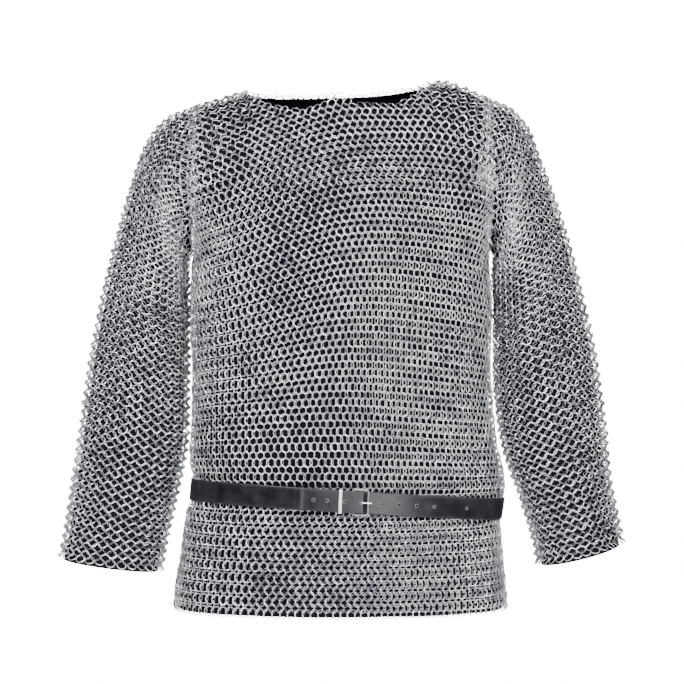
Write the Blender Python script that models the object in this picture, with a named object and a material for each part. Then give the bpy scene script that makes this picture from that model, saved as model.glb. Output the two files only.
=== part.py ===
"""Mail hauberk with its leather belt, worn shape, hollow, in metres, +Z up.

The front faces -Y.  The origin is where the wearer's shoulders carry the shirt.
Every cloth piece is a 2 mm wall: a grid of outer points worked out from the sizes
below, moved inwards along its normals, and closed along its edges.
"""
import math
from typing import NamedTuple

import bmesh
import bpy
import numpy as np
from mathutils import Vector

# Driving dimensions, in metres
WALL = 0.002                 # mail wall: rings of 1.6 mm wire lying on each other
SEAM_GAP = 0.0003            # clearance between pieces that meet
ARMHOLE_GAP = 0.0008         # the same round the armholes, where the edges twist
HEM_Z = -0.670
UNDERARM_Z = -0.215
CHEST_Z = -0.130             # from here up the wall curves back over the shoulder
ARMHOLE_X = 0.192
ARMHOLE_FLARE = 0.5          # how fast the body section widens into the sleeve
SECTION_POWER = 2.3          # squareness of the body sections
NECK_CENTRE_X = -0.0045
NECK_HALF_WIDTH = 0.1175
NECK_FRONT_DEPTH = 0.100
NECK_BACK_DEPTH = 0.072
NECK_POWER = 2.2
NECK_ROLL = math.radians(75)  # how far the wall has turned back at the neck edge

BELT_Z = -0.5275
BELT_TILT = -0.0625          # the belt lies lower on the wearer's left
BELT_FRONT_RISE = 0.004
BELT_WIDTH = 0.028
BELT_THICK = 0.0026
BELT_GROOVE = 0.004
BELT_GROOVE_HALF = 0.022
BELT_SPILL = 0.003           # the mail bulging over the belt
BELT_SPILL_ABOVE = 0.048
BELT_SPILL_HALF = 0.022
FOLDS_FADE = 0.030           # folds die out this close to the belt
ROWS_FOLLOW = 0.050          # panel rows run along the belt this close to it
BELT_LIFT = 0.0004           # clearance of the strap from the mail
BUCKLE_LIFT = 0.0014         # the same behind the buckle and keeper
BELT_ROWS_MARGIN = 0.002     # panel rows lie this far above and below the strap
BUCKLE_REACH = 0.42          # how far round the body the buckle's clearance goes, radians
TAIL_CURL = 0.0004           # the tail's end is a little thicker where it curls
TAIL_END_X = -0.0597
HEEL_BAR_X = 0.0149
FRONT_BAR_X = 0.0348
PRONG_HOLE_X = 0.0262
CLIMB_START_X = 0.0334       # the tail rises over the strap's end between these two
CLIMB_END_X = 0.0282
KEEPER_X = 0.0
KEEPER_BROAD = 0.0036
KEEPER_THICK = 0.0008
HOLE_RADIUS = 0.0017
BAR_RADIUS = 0.0013
PRONG_RADIUS = 0.0009
PRONG_TURN = 0.0006
PRONG_TIP_X = 0.0388
HEEL_DROP = 0.0001           # the heel bar lies this far below the strap's face
HEEL_LEVEL = BUCKLE_LIFT + BELT_THICK - BAR_RADIUS - HEEL_DROP
FRAME_CORNER = 0.003
CORNER_STEPS = 4
ROD_SIDES = 8
HOLE_SIDES = 10
TAIL_HOLES_X = (-0.0336, -0.0162, 0.0050)
STRAP_HOLES_X = (0.0522, 0.0733, 0.0957, 0.1180, 0.1600)

SHARP_ANGLE = math.radians(40)
NECK_COLUMNS = 12
SIDE_COLUMNS = 7
SKIRT_ROWS = 5
BELT_ROWS = 5
WAIST_ROWS = 7
CHEST_ROWS = 5
SHOULDER_ROWS = 9
SHOULDER_CUTS = 6            # the sleeve's first cuts, close together over the shoulder
ARM_STEPS = 16


class Section(NamedTuple):
    """One level of the body: half width, middle, and depth before and behind."""
    z: float
    half_width: float
    middle_x: float
    front: float
    back: float


BODY = [
    Section(-0.6700, 0.2165, -0.0007, 0.1450, 0.1400),
    Section(-0.6400, 0.2139, -0.0007, 0.1430, 0.1370),
    Section(-0.5960, 0.2080, 0.0010, 0.1390, 0.1330),
    Section(-0.5650, 0.2055, 0.0020, 0.1360, 0.1300),
    Section(-0.5275, 0.2048, 0.0080, 0.1340, 0.1270),
    Section(-0.4900, 0.2005, 0.0065, 0.1340, 0.1260),
    Section(-0.4300, 0.1960, 0.0030, 0.1350, 0.1260),
    Section(-0.3600, 0.1934, 0.0010, 0.1350, 0.1270),
    Section(-0.2800, 0.1955, 0.0005, 0.1340, 0.1300),
    Section(-0.2150, 0.1920, 0.0000, 0.1300, 0.1310),
    Section(-0.1300, 0.1920, 0.0000, 0.1250, 0.1230),
]
WAIST = BODY[4]


class EdgePoint(NamedTuple):
    """Height of the shoulder seam or of the neck edge at one place across."""
    x: float
    z: float


SHOULDER_LINE = [
    EdgePoint(-0.192, -0.0180), EdgePoint(-0.160, -0.0080), EdgePoint(-0.122, 0.0030),
    EdgePoint(0.113, 0.0145), EdgePoint(0.140, 0.0140), EdgePoint(0.168, 0.0040),
    EdgePoint(0.192, -0.0075),
]
NECK_FRONT = [
    EdgePoint(-0.122, 0.0030), EdgePoint(-0.100, -0.0110), EdgePoint(-0.056, -0.0270),
    EdgePoint(-0.015, -0.0170), EdgePoint(0.020, -0.0170), EdgePoint(0.055, -0.0200),
    EdgePoint(0.090, -0.0080), EdgePoint(0.113, 0.0145),
]
NECK_BACK = [
    EdgePoint(-0.122, 0.0030), EdgePoint(-0.060, 0.0060), EdgePoint(0.050, 0.0100),
    EdgePoint(0.113, 0.0145),
]


class SleeveCut(NamedTuple):
    """One cross cut of a sleeve: its body side and outer side, x counted outwards."""
    inner_x: float
    inner_z: float
    outer_x: float
    outer_z: float
    middle_y: float
    half_depth: float
    roundness: float         # 0 keeps the armhole's shape, 1 is a plain oval


SLEEVE_RIGHT = [
    SleeveCut(0.1937, -0.2125, 0.2070, -0.0240, 0.000, 0.084, 0.00),
    SleeveCut(0.1958, -0.2150, 0.2220, -0.0300, 0.000, 0.085, 0.05),
    SleeveCut(0.1968, -0.2260, 0.2440, -0.0500, 0.000, 0.085, 0.20),
    SleeveCut(0.1970, -0.2400, 0.2610, -0.0820, 0.000, 0.083, 0.45),
    SleeveCut(0.1970, -0.2580, 0.2760, -0.1270, 0.002, 0.078, 0.70),
    SleeveCut(0.1970, -0.2850, 0.2935, -0.1890, 0.003, 0.071, 0.90),
    SleeveCut(0.1965, -0.3250, 0.3120, -0.2650, 0.003, 0.065, 1.00),
    SleeveCut(0.1965, -0.3850, 0.3270, -0.3450, 0.000, 0.060, 1.00),
    SleeveCut(0.1980, -0.4560, 0.3385, -0.4300, -0.007, 0.056, 1.00),
    SleeveCut(0.2105, -0.5230, 0.3480, -0.5000, -0.016, 0.054, 1.00),
    SleeveCut(0.2240, -0.5860, 0.3565, -0.5650, -0.027, 0.055, 1.00),
    SleeveCut(0.2290, -0.6230, 0.3640, -0.6050, -0.033, 0.055, 1.00),
]
SLEEVE_LEFT = [
    SleeveCut(0.1937, -0.2105, 0.2080, -0.0140, 0.000, 0.084, 0.00),
    SleeveCut(0.1960, -0.2150, 0.2250, -0.0230, 0.000, 0.085, 0.05),
    SleeveCut(0.1975, -0.2260, 0.2450, -0.0480, 0.000, 0.085, 0.20),
    SleeveCut(0.1980, -0.2400, 0.2580, -0.0820, 0.000, 0.083, 0.45),
    SleeveCut(0.1985, -0.2580, 0.2755, -0.1275, 0.002, 0.078, 0.70),
    SleeveCut(0.1990, -0.2850, 0.2960, -0.1890, 0.003, 0.071, 0.90),
    SleeveCut(0.1995, -0.3250, 0.3155, -0.2650, 0.003, 0.066, 1.00),
    SleeveCut(0.2015, -0.3900, 0.3325, -0.3450, 0.000, 0.062, 1.00),
    SleeveCut(0.2085, -0.4600, 0.3435, -0.4300, -0.007, 0.060, 1.00),
    SleeveCut(0.2300, -0.5250, 0.3495, -0.5000, -0.016, 0.062, 1.00),
    SleeveCut(0.2460, -0.5800, 0.3585, -0.5520, -0.027, 0.065, 1.00),
    SleeveCut(0.2510, -0.6145, 0.3654, -0.5860, -0.033, 0.066, 1.00),
]


class Fold(NamedTuple):
    """A soft ridge (or trough, if its height is negative) seen from the front."""
    top_x: float
    top_z: float
    foot_x: float
    foot_z: float
    height: float
    width: float


FRONT_FOLDS = [
    Fold(-0.070, -0.040, -0.175, -0.175, 0.0035, 0.028),
    Fold(-0.020, -0.060, -0.165, -0.260, -0.0030, 0.030),
    Fold(0.165, -0.050, 0.178, -0.230, 0.0040, 0.014),
    Fold(0.140, -0.060, 0.150, -0.250, -0.0030, 0.016),
    Fold(0.002, -0.020, 0.020, -0.062, 0.0022, 0.012),
    Fold(-0.110, -0.540, -0.125, -0.690, 0.0040, 0.024),
    Fold(-0.030, -0.545, -0.030, -0.690, -0.0030, 0.026),
    Fold(0.060, -0.545, 0.065, -0.690, 0.0030, 0.026),
    Fold(0.150, -0.550, 0.160, -0.690, 0.0040, 0.022),
    Fold(-0.150, -0.330, -0.160, -0.500, 0.0030, 0.020),
    Fold(0.120, -0.360, 0.130, -0.510, 0.0030, 0.024),
]
BACK_FOLDS = [
    Fold(0.060, -0.060, 0.165, -0.220, 0.0035, 0.028),
    Fold(-0.060, -0.060, -0.165, -0.230, 0.0035, 0.028),
    Fold(0.000, -0.300, 0.005, -0.500, -0.0030, 0.030),
    Fold(0.120, -0.320, 0.125, -0.510, 0.0030, 0.024),
    Fold(-0.110, -0.340, -0.120, -0.510, 0.0030, 0.024),
    Fold(-0.130, -0.545, -0.140, -0.690, 0.0040, 0.022),
    Fold(-0.045, -0.545, -0.045, -0.690, -0.0030, 0.026),
    Fold(0.050, -0.545, 0.050, -0.690, 0.0035, 0.026),
    Fold(0.140, -0.550, 0.150, -0.690, 0.0035, 0.022),
]
SLEEVE_FOLDS = [
    Fold(0.215, -0.060, 0.225, -0.190, 0.0040, 0.010),
    Fold(0.250, -0.300, 0.215, -0.345, 0.0030, 0.012),
    Fold(0.300, -0.330, 0.225, -0.420, 0.0030, 0.014),
    Fold(0.320, -0.430, 0.240, -0.500, -0.0030, 0.016),
    Fold(0.290, -0.480, 0.300, -0.600, 0.0030, 0.018),
]


def smooth_curve(xs, ys, at):
    """Smooth curve through the points xs, ys, read at the places in `at`."""
    xs, ys = np.array(xs, float), np.array(ys, float)
    slopes = np.gradient(ys, xs)
    at = np.clip(np.asarray(at, float), xs[0], xs[-1])
    i = np.clip(np.searchsorted(xs, at, side="right") - 1, 0, len(xs) - 2)
    width = xs[i + 1] - xs[i]
    t = (at - xs[i]) / width
    return ((2 * t**3 - 3 * t**2 + 1) * ys[i] + (t**3 - 2 * t**2 + t) * width * slopes[i]
            + (3 * t**2 - 2 * t**3) * ys[i + 1] + (t**3 - t**2) * width * slopes[i + 1])


def body_size(column, z):
    """One column of the body table at the heights z."""
    return smooth_curve([row.z for row in BODY], [getattr(row, column) for row in BODY], z)


def edge_height(line, x):
    """Height of the shoulder seam or of a neck edge at the places x."""
    return smooth_curve([point.x for point in line], [point.z for point in line], x)


def oval(fraction, power):
    """Height of a squared-off oval of unit radius at a fraction of its half width."""
    return np.clip(1 - np.abs(fraction)**power, 0, None)**(1 / power)


def waist_share(x):
    """Place across the waist: -1 and 1 at the sides, 0 in the middle."""
    return np.clip((x - WAIST.middle_x) / WAIST.half_width, -1, 1)


def belt_height(x, front):
    """Height of the belt's middle line at x; `front` is 1 in front, -1 behind."""
    return BELT_Z + BELT_TILT * x + BELT_FRONT_RISE * front * oval(waist_share(x), 2)


def fold_relief(x, z, folds):
    """How far the folds lift the wall at x, z."""
    lift = np.zeros(np.broadcast(x, z).shape)
    for fold in folds:
        along = np.array([fold.foot_x - fold.top_x, fold.foot_z - fold.top_z])
        length = np.hypot(*along)
        along = along / length
        dx, dz = x - fold.top_x, z - fold.top_z
        t = (dx * along[0] + dz * along[1]) / length
        side = dx * along[1] - dz * along[0]
        taper = np.clip(1 - np.abs(2 * t - 1), 0, 1)
        lift = lift + fold.height * np.sin(math.pi / 2 * taper)**2 * np.exp(-(side / fold.width)**2)
    return lift


def body_relief(x, z, front, folds):
    """Belt groove, the mail bulging over the belt, and the folds."""
    from_belt = z - belt_height(x, front)
    groove = -BELT_GROOVE * np.exp(-(from_belt / BELT_GROOVE_HALF)**4)
    spill = BELT_SPILL * np.exp(-((from_belt - BELT_SPILL_ABOVE) / BELT_SPILL_HALF)**2)
    return groove + spill + fold_relief(x, z, folds) * (1 - np.exp(-(from_belt / FOLDS_FADE)**4))


def body_depth(x, z, depth_column):
    """Distance of the wall from the side plane, below the shoulder curve."""
    half_width = body_size("half_width", z)
    flare = ARMHOLE_FLARE * np.clip(z - UNDERARM_Z, 0, None)
    middle = body_size("middle_x", z)
    return body_size(depth_column, z) * oval((x - middle) / (half_width + flare), SECTION_POWER)


def column_fractions():
    """Places of the panel's columns: from armhole to neck, round the neck, and back."""
    neck_angles = np.linspace(-math.pi / 2, math.pi / 2, NECK_COLUMNS + 1)
    neck = (NECK_CENTRE_X + NECK_HALF_WIDTH * np.sin(neck_angles)) / ARMHOLE_X

    def beside(edge):
        start = math.asin(abs(edge)**(SECTION_POWER / 2))
        angles = np.linspace(start, math.pi / 2, SIDE_COLUMNS + 1)[1:]
        return np.sin(angles)**(2 / SECTION_POWER)

    return np.concatenate([-beside(neck[0])[::-1], neck, beside(neck[-1])])


def row_levels():
    """Heights of the rows from hem to underarm, some of them behind the belt."""
    half = BELT_WIDTH / 2 + BELT_ROWS_MARGIN
    belt = BELT_Z + half * np.linspace(-1, 1, BELT_ROWS)
    skirt = np.linspace(HEM_Z, belt[0], SKIRT_ROWS + 1)[:-1]
    above = np.linspace(belt[-1], UNDERARM_Z, WAIST_ROWS + 1)[1:]
    return np.concatenate([skirt, belt, above])


def panel_points(front):
    """Outer points of the front (front=1) or back (front=-1) panel, rows by columns."""
    depth_column = "front" if front > 0 else "back"
    folds = FRONT_FOLDS if front > 0 else BACK_FOLDS
    neck_depth = NECK_FRONT_DEPTH if front > 0 else NECK_BACK_DEPTH
    neck_line = NECK_FRONT if front > 0 else NECK_BACK
    across = column_fractions()

    levels = row_levels()[:, None]
    middle = body_size("middle_x", levels)
    x = middle + body_size("half_width", levels) * across
    follow = np.exp(-((levels - BELT_Z) / ROWS_FOLLOW)**4)
    z = levels + follow * (belt_height(x, front) - BELT_Z)
    x = body_size("middle_x", z) + body_size("half_width", z) * across
    y = body_depth(x, z, depth_column)
    lower = np.stack([x, y, z], axis=-1)

    levels = np.linspace(UNDERARM_Z, CHEST_Z, CHEST_ROWS + 1)[1:, None]
    x = np.broadcast_to(ARMHOLE_X * across, (CHEST_ROWS, across.size))
    z = np.broadcast_to(levels, x.shape)
    chest = np.stack([x, body_depth(x, z, depth_column), z], axis=-1)

    x = ARMHOLE_X * across
    chest_depth = body_depth(x, np.full_like(x, CHEST_Z), depth_column)
    from_neck = (x - NECK_CENTRE_X) / NECK_HALF_WIDTH
    edge_depth = neck_depth * oval(np.clip(from_neck, -1, 1), NECK_POWER)
    in_neck = np.abs(from_neck) < 1 - 1e-6
    edge_z = np.where(in_neck, edge_height(neck_line, x), edge_height(SHOULDER_LINE, x))
    roll = math.pi / 2 - (math.pi / 2 - NECK_ROLL) * edge_depth / neck_depth
    turn = roll * np.linspace(0, 1, SHOULDER_ROWS + 1)[1:, None]
    y = edge_depth + (chest_depth - edge_depth) * (np.cos(turn) - np.cos(roll)) / (1 - np.cos(roll))
    z = CHEST_Z + (edge_z - CHEST_Z) * np.sin(turn) / np.sin(roll)
    shoulder = np.stack([np.broadcast_to(x, y.shape), y, z], axis=-1)

    points = np.concatenate([lower, chest, shoulder])
    points[..., 1] = -front * np.maximum(points[..., 1], SEAM_GAP / 2)
    normals = grid_normals(points, False) * front
    pin_edges(normals)
    lift = body_relief(points[..., 0], points[..., 2], front, folds)
    points = points + lift[..., None] * normals
    normals = grid_normals(points, False) * front
    pin_edges(normals)
    return points, normals


def grid_normals(points, closed):
    """Unit normals of a grid of points; the columns run round a loop when closed."""
    if closed:
        along = np.roll(points, -1, axis=1) - np.roll(points, 1, axis=1)
    else:
        along = np.gradient(points, axis=1)
    normals = np.cross(along, np.gradient(points, axis=0))
    return normals / np.linalg.norm(normals, axis=-1, keepdims=True)


def pin_edges(normals):
    """Keep a panel's wall flat on its seam planes: hem, side seams, shoulder seams."""
    underarm = len(row_levels())
    normals[0, :, 2] = 0
    normals[:underarm, [0, -1], 1] = 0
    normals[-1, :SIDE_COLUMNS + 1, 1] = 0
    normals[-1, -SIDE_COLUMNS - 1:, 1] = 0
    normals /= np.linalg.norm(normals, axis=-1, keepdims=True)


def armhole_loop(panels, side):
    """Points, normals and outward directions round an armhole, from the shoulder
    down the front and up the back; side is 1 for the wearer's left."""
    column = -1 if side > 0 else 0
    start = len(row_levels()) - 1
    (front, front_normals), (back, back_normals) = panels

    def ring(front_values, back_values):
        down = front_values[start:, column][::-1]
        up = back_values[start:, column]
        joined = [(down[0] + up[-1]) / 2, *down[1:-1], (down[-1] + up[0]) / 2, *up[1:-1]]
        return np.array(joined)

    points = ring(front, back)
    normals = ring(front_normals, back_normals)
    along = np.roll(points, -1, axis=0) - np.roll(points, 1, axis=0)
    along /= np.linalg.norm(along, axis=-1, keepdims=True)
    normals -= (normals * along).sum(axis=-1, keepdims=True) * along
    normals /= np.linalg.norm(normals, axis=-1, keepdims=True)
    return points, normals, side * np.cross(normals, along)


def sleeve_points(panels, side):
    """Outer and inner points of a sleeve, cuts by places round, armhole to cuff."""
    cuts = SLEEVE_LEFT if side > 0 else SLEEVE_RIGHT
    loop, loop_normals, outwards = armhole_loop(panels, side)
    count = len(loop)
    first = loop + ARMHOLE_GAP * outwards

    top_z, low_z = loop[0, 2], loop[count // 2, 2]
    reach = np.abs(loop[:, 1]).max()
    armhole = np.stack([(loop[:, 2] - (top_z + low_z) / 2) / ((top_z - low_z) / 2),
                        -loop[:, 1] / reach], axis=-1)
    angles = 2 * math.pi * np.arange(count) / count
    plain = np.stack([np.cos(angles), np.sin(angles)], axis=-1)

    steps = np.concatenate([np.arange(SHOULDER_CUTS),
                            np.linspace(SHOULDER_CUTS, len(cuts) - 1, ARM_STEPS)])

    def read(column):
        return smooth_curve(range(len(cuts)), [getattr(cut, column) for cut in cuts], steps)

    inner = np.stack([read("inner_x"), read("inner_z")], axis=-1)
    outer = np.stack([read("outer_x"), read("outer_z")], axis=-1)
    centre, half = (inner + outer) / 2, (outer - inner) / 2
    share = read("roundness")[:, None, None]
    shape = armhole * (1 - share) + plain * share
    x = centre[:, :1] + half[:, :1] * shape[..., 0]
    z = centre[:, 1:] + half[:, 1:] * shape[..., 0]
    y = read("middle_y")[:, None] - read("half_depth")[:, None] * shape[..., 1]
    points = np.concatenate([first[None], np.stack([side * x, y, z], axis=-1)])

    normals = side * grid_normals(points, True)
    front_side = np.clip(np.sin(angles), 0, None)
    lift = fold_relief(np.abs(points[..., 0]), points[..., 2], SLEEVE_FOLDS) * front_side
    lift[:2] = 0
    points = points + lift[..., None] * normals
    normals = side * grid_normals(points, True)
    normals[0] = loop_normals
    cuff_axis = np.array([side * (outer[-1, 0] - inner[-1, 0]), 0, outer[-1, 1] - inner[-1, 1]])
    cuff_axis /= np.linalg.norm(cuff_axis)
    cuff_along = np.cross(cuff_axis, (0, 1, 0))
    normals[-1] -= (normals[-1] @ cuff_along)[:, None] * cuff_along
    normals[-1] /= np.linalg.norm(normals[-1], axis=-1, keepdims=True)
    return points, normals


def wall_mesh(name, outer, normals, thickness, closed):
    """Closed wall between a grid of outer points and the same points moved inwards."""
    inner = outer - thickness * normals
    rows, columns = outer.shape[:2]
    base = rows * columns
    vertices = np.concatenate([outer.reshape(-1, 3), inner.reshape(-1, 3)])
    last = columns if closed else columns - 1

    def at(row, column):
        return row * columns + column % columns

    faces = []
    for row in range(rows - 1):
        for column in range(last):
            quad = [at(row, column), at(row, column + 1), at(row + 1, column + 1), at(row + 1, column)]
            faces.append(quad)
            faces.append([base + corner for corner in reversed(quad)])
    for column in range(last):
        low, high = at(0, column), at(0, column + 1)
        faces.append([high, low, base + low, base + high])
        low, high = at(rows - 1, column), at(rows - 1, column + 1)
        faces.append([low, high, base + high, base + low])
    if not closed:
        for row in range(rows - 1):
            low, high = at(row, 0), at(row + 1, 0)
            faces.append([low, high, base + high, base + low])
            low, high = at(row, columns - 1), at(row + 1, columns - 1)
            faces.append([high, low, base + low, base + high])
    return solid(name, vertices, faces)


def solid(name, vertices, faces):
    """Object with outward faces from vertices and faces."""
    mesh = bpy.data.meshes.new(name)
    mesh.from_pydata([tuple(map(float, vertex)) for vertex in vertices], [], faces)
    edit = bmesh.new()
    edit.from_mesh(mesh)
    bmesh.ops.recalc_face_normals(edit, faces=edit.faces)
    edit.to_mesh(mesh)
    edit.free()
    mesh.shade_smooth()
    mesh.set_sharp_from_angle(angle=SHARP_ANGLE)
    thing = bpy.data.objects.new(name, mesh)
    bpy.context.collection.objects.link(thing)
    return thing


def finish(thing, colour, metallic, roughness):
    """Give an object its own Principled material."""
    material = bpy.data.materials.new(thing.name + "_finish")
    material.use_nodes = True
    shader = material.node_tree.nodes["Principled BSDF"]
    shader.inputs["Base Color"].default_value = (*colour, 1)
    shader.inputs["Metallic"].default_value = metallic
    shader.inputs["Roughness"].default_value = roughness
    thing.data.materials.append(material)


STEEL = ((0.62, 0.62, 0.66), 1.0, 0.35)
LEATHER = ((0.015, 0.015, 0.018), 0.0, 0.40)
NICKEL = ((0.72, 0.71, 0.70), 1.0, 0.25)


def body_point(angle, height):
    """Outer point of the mail at an angle round the body, 0 in front and growing
    towards the wearer's left, at a height above the belt's middle line."""
    front = np.where(np.cos(angle) >= 0, 1.0, -1.0)
    share = np.sign(np.sin(angle)) * np.abs(np.sin(angle))**(2 / SECTION_POWER)
    x = WAIST.middle_x + WAIST.half_width * share
    z = belt_height(x, front) + height
    for _ in range(2):
        x = body_size("middle_x", z) + body_size("half_width", z) * share
        z = belt_height(x, front) + height
    depth = np.where(front > 0, body_size("front", z), body_size("back", z))
    return np.stack([x, -front * depth * oval(share, SECTION_POWER), z], axis=-1)


def belt_frame(angles):
    """Lower and upper edge points of the strap on the mail, and the outward normal."""
    low, high = (body_point(angles, side * BELT_WIDTH / 2) for side in (-1, 1))
    step = 1e-3
    ahead = body_point(angles + step, 0.0) - body_point(angles - step, 0.0)
    normal = np.cross(ahead, high - low)
    normal /= np.linalg.norm(normal, axis=-1, keepdims=True)
    dip = body_relief(low[:, 0], belt_height(low[:, 0], np.sign(-low[:, 1])) + BELT_WIDTH / 2,
                      np.sign(-low[:, 1]), [])[:, None]
    return low + dip * normal, high + dip * normal, normal


def angle_at(x):
    """Angle round the front of the body at which the belt crosses x."""
    share = waist_share(x)
    return np.arcsin(np.sign(share) * np.abs(share)**(SECTION_POWER / 2))


def strap_lift(angles, on_top):
    """Clearance of the strap from the mail along its run."""
    near_buckle = np.exp(-((angles - angle_at(KEEPER_X)) / BUCKLE_REACH)**4)
    lift = BELT_LIFT + (BUCKLE_LIFT - BELT_LIFT) * near_buckle
    climb_from, climb_to = angle_at(CLIMB_START_X), angle_at(CLIMB_END_X)
    climb = np.clip((climb_from - angles) / (climb_from - climb_to), 0, 1)
    climb = climb * climb * (3 - 2 * climb)
    return lift + on_top * climb * (BELT_THICK + SEAM_GAP)


def belt_point(x, height, level):
    """Point in front of the body at x, a height above the belt's middle, a level out."""
    angles = np.atleast_1d(angle_at(np.asarray(x, float)))
    low, high, normal = belt_frame(angles)
    share = height / BELT_WIDTH + 0.5
    return (low + (high - low) * share + level * normal)[0]


def build_strap():
    """The strap: from the buckle round the body and back over itself to its tail."""
    start = angle_at(HEEL_BAR_X - BAR_RADIUS - 2 * SEAM_GAP)
    end = angle_at(TAIL_END_X)
    full = 2 * math.pi
    climb = np.linspace(angle_at(FRONT_BAR_X), angle_at(PRONG_HOLE_X), 7)
    under = np.linspace(start, -math.pi / 2, 22)[:-1]
    behind = np.linspace(-math.pi / 2, -1.5 * math.pi, 30)
    right = np.linspace(math.pi / 2, angle_at(PRONG_TIP_X), 20)[1:]
    over = np.linspace(climb[-1], end, 12)[1:]
    runs = [(under, 0.0), (behind, 0.0), (right, 0.0), (climb, 1.0), (over, 1.0)]
    angles = np.concatenate([run for run, _ in runs])
    on_top = np.concatenate([np.full(len(run), top) for run, top in runs])
    wrapped = np.where(angles < -math.pi, angles + full, angles)
    low, high, normal = belt_frame(wrapped)
    lift = strap_lift(wrapped, on_top)[:, None]
    tip = np.clip((np.arange(len(angles)) - len(angles) + 3) / 2, 0, 1)[:, None]
    outer_lift = lift + BELT_THICK + TAIL_CURL * tip
    bottom_in, top_in = low + lift * normal, high + lift * normal
    bottom_out, top_out = low + outer_lift * normal, high + outer_lift * normal
    vertices = np.stack([bottom_in, top_in, top_out, bottom_out], axis=1).reshape(-1, 3)
    count = len(angles)
    faces = [[0, 1, 2, 3], [4 * count - 1, 4 * count - 2, 4 * count - 3, 4 * count - 4]]
    for i in range(count - 1):
        for j in range(4):
            k = (j + 1) % 4
            faces.append([4 * i + j, 4 * i + 4 + j, 4 * i + 4 + k, 4 * i + k])
    strap = solid("belt_strap", vertices, faces)
    for number, x in enumerate((*TAIL_HOLES_X, PRONG_HOLE_X)):
        punch_hole(strap, f"tail_hole_{number}", x, BUCKLE_LIFT + BELT_THICK + SEAM_GAP)
    for number, x in enumerate(STRAP_HOLES_X):
        punch_hole(strap, f"strap_hole_{number}", x, float(strap_lift(angle_at(x), 0.0)))
    finish(strap, *LEATHER)


def punch_hole(strap, name, x, level):
    """Cut one round hole through the layer of the strap that starts at this level."""
    foot = Vector(belt_point(x, 0.0, level - SEAM_GAP / 2))
    head = Vector(belt_point(x, 0.0, level + 2 * BELT_THICK))
    edit = bmesh.new()
    bmesh.ops.create_cone(edit, cap_ends=True, segments=HOLE_SIDES, radius1=HOLE_RADIUS,
                          radius2=HOLE_RADIUS, depth=(head - foot).length)
    mesh = bpy.data.meshes.new(name)
    edit.to_mesh(mesh)
    edit.free()
    cutter = bpy.data.objects.new(name, mesh)
    bpy.context.collection.objects.link(cutter)
    cutter.location = (foot + head) / 2
    cutter.rotation_euler = (head - foot).to_track_quat("Z", "X").to_euler()
    cutter.hide_render = True
    cutter.display_type = "WIRE"
    cut = strap.modifiers.new(name, "BOOLEAN")
    cut.operation = "DIFFERENCE"
    cut.solver = "EXACT"
    cut.object = cutter


def rod(name, path, radius, sides, closed):
    """Round bar of one radius along a path of points."""
    path = np.array(path, float)
    count = len(path)
    if closed:
        tangents = np.roll(path, -1, axis=0) - np.roll(path, 1, axis=0)
    else:
        tangents = np.gradient(path, axis=0)
    tangents /= np.linalg.norm(tangents, axis=-1, keepdims=True)
    centre = path.mean(axis=0)
    across = np.cross(path[1] - path[0], path[count // 2] - centre)
    across /= np.linalg.norm(across)
    side = np.cross(tangents, across)
    side /= np.linalg.norm(side, axis=-1, keepdims=True)
    up = np.cross(side, tangents)
    angles = 2 * math.pi * (np.arange(sides) + 0.5) / sides
    rings = (path[:, None] + radius * (np.cos(angles)[None, :, None] * side[:, None]
                                       + np.sin(angles)[None, :, None] * up[:, None]))
    faces = []
    for i in range(count if closed else count - 1):
        a, b = i * sides, (i + 1) % count * sides
        for j in range(sides):
            k = (j + 1) % sides
            faces.append([a + j, b + j, b + k, a + k])
    if not closed:
        faces.append(list(range(sides)))
        faces.append([(count - 1) * sides + j for j in reversed(range(sides))])
    return solid(name, rings.reshape(-1, 3), faces)


def rounded_path(corners, radius, steps):
    """Closed path through the corners, each turned on an arc-like curve."""
    corners = [np.array(corner, float) for corner in corners]
    path = []
    for i, corner in enumerate(corners):
        before, after = corners[i - 1], corners[(i + 1) % len(corners)]
        start = corner + (before - corner) / np.linalg.norm(before - corner) * radius
        end = corner + (after - corner) / np.linalg.norm(after - corner) * radius
        for t in np.linspace(0, 1, steps):
            path.append((1 - t)**2 * start + 2 * t * (1 - t) * corner + t * t * end)
    return path


def build_buckle():
    """Frame with its heel bar under the tail and its front bar over the strap."""
    half = BELT_WIDTH / 2 + BAR_RADIUS + SEAM_GAP
    over = BUCKLE_LIFT + BELT_THICK + SEAM_GAP + BAR_RADIUS
    corners = [belt_point(HEEL_BAR_X, -half, HEEL_LEVEL), belt_point(FRONT_BAR_X, -half, over),
               belt_point(FRONT_BAR_X, half, over), belt_point(HEEL_BAR_X, half, HEEL_LEVEL)]
    path = rounded_path(corners, FRAME_CORNER, CORNER_STEPS)
    frame = rod("buckle_frame", path, BAR_RADIUS, ROD_SIDES, True)
    finish(frame, *NICKEL)


def build_prong():
    """Prong: from the heel bar under the tail, up through its hole, on to the front bar."""
    over = BUCKLE_LIFT + BELT_THICK + 2 * SEAM_GAP + 2 * BAR_RADIUS + PRONG_RADIUS
    turn = PRONG_TURN
    places = [(HEEL_BAR_X + BAR_RADIUS + SEAM_GAP, HEEL_LEVEL), (PRONG_HOLE_X - turn, HEEL_LEVEL),
              (PRONG_HOLE_X, HEEL_LEVEL + turn), (PRONG_HOLE_X, over - turn),
              (PRONG_HOLE_X + turn, over), (FRONT_BAR_X, over), (PRONG_TIP_X, over - turn / 2)]
    path = [belt_point(x, 0.0, level) for x, level in places]
    prong = rod("buckle_prong", path, PRONG_RADIUS, ROD_SIDES, False)
    finish(prong, *NICKEL)


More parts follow.
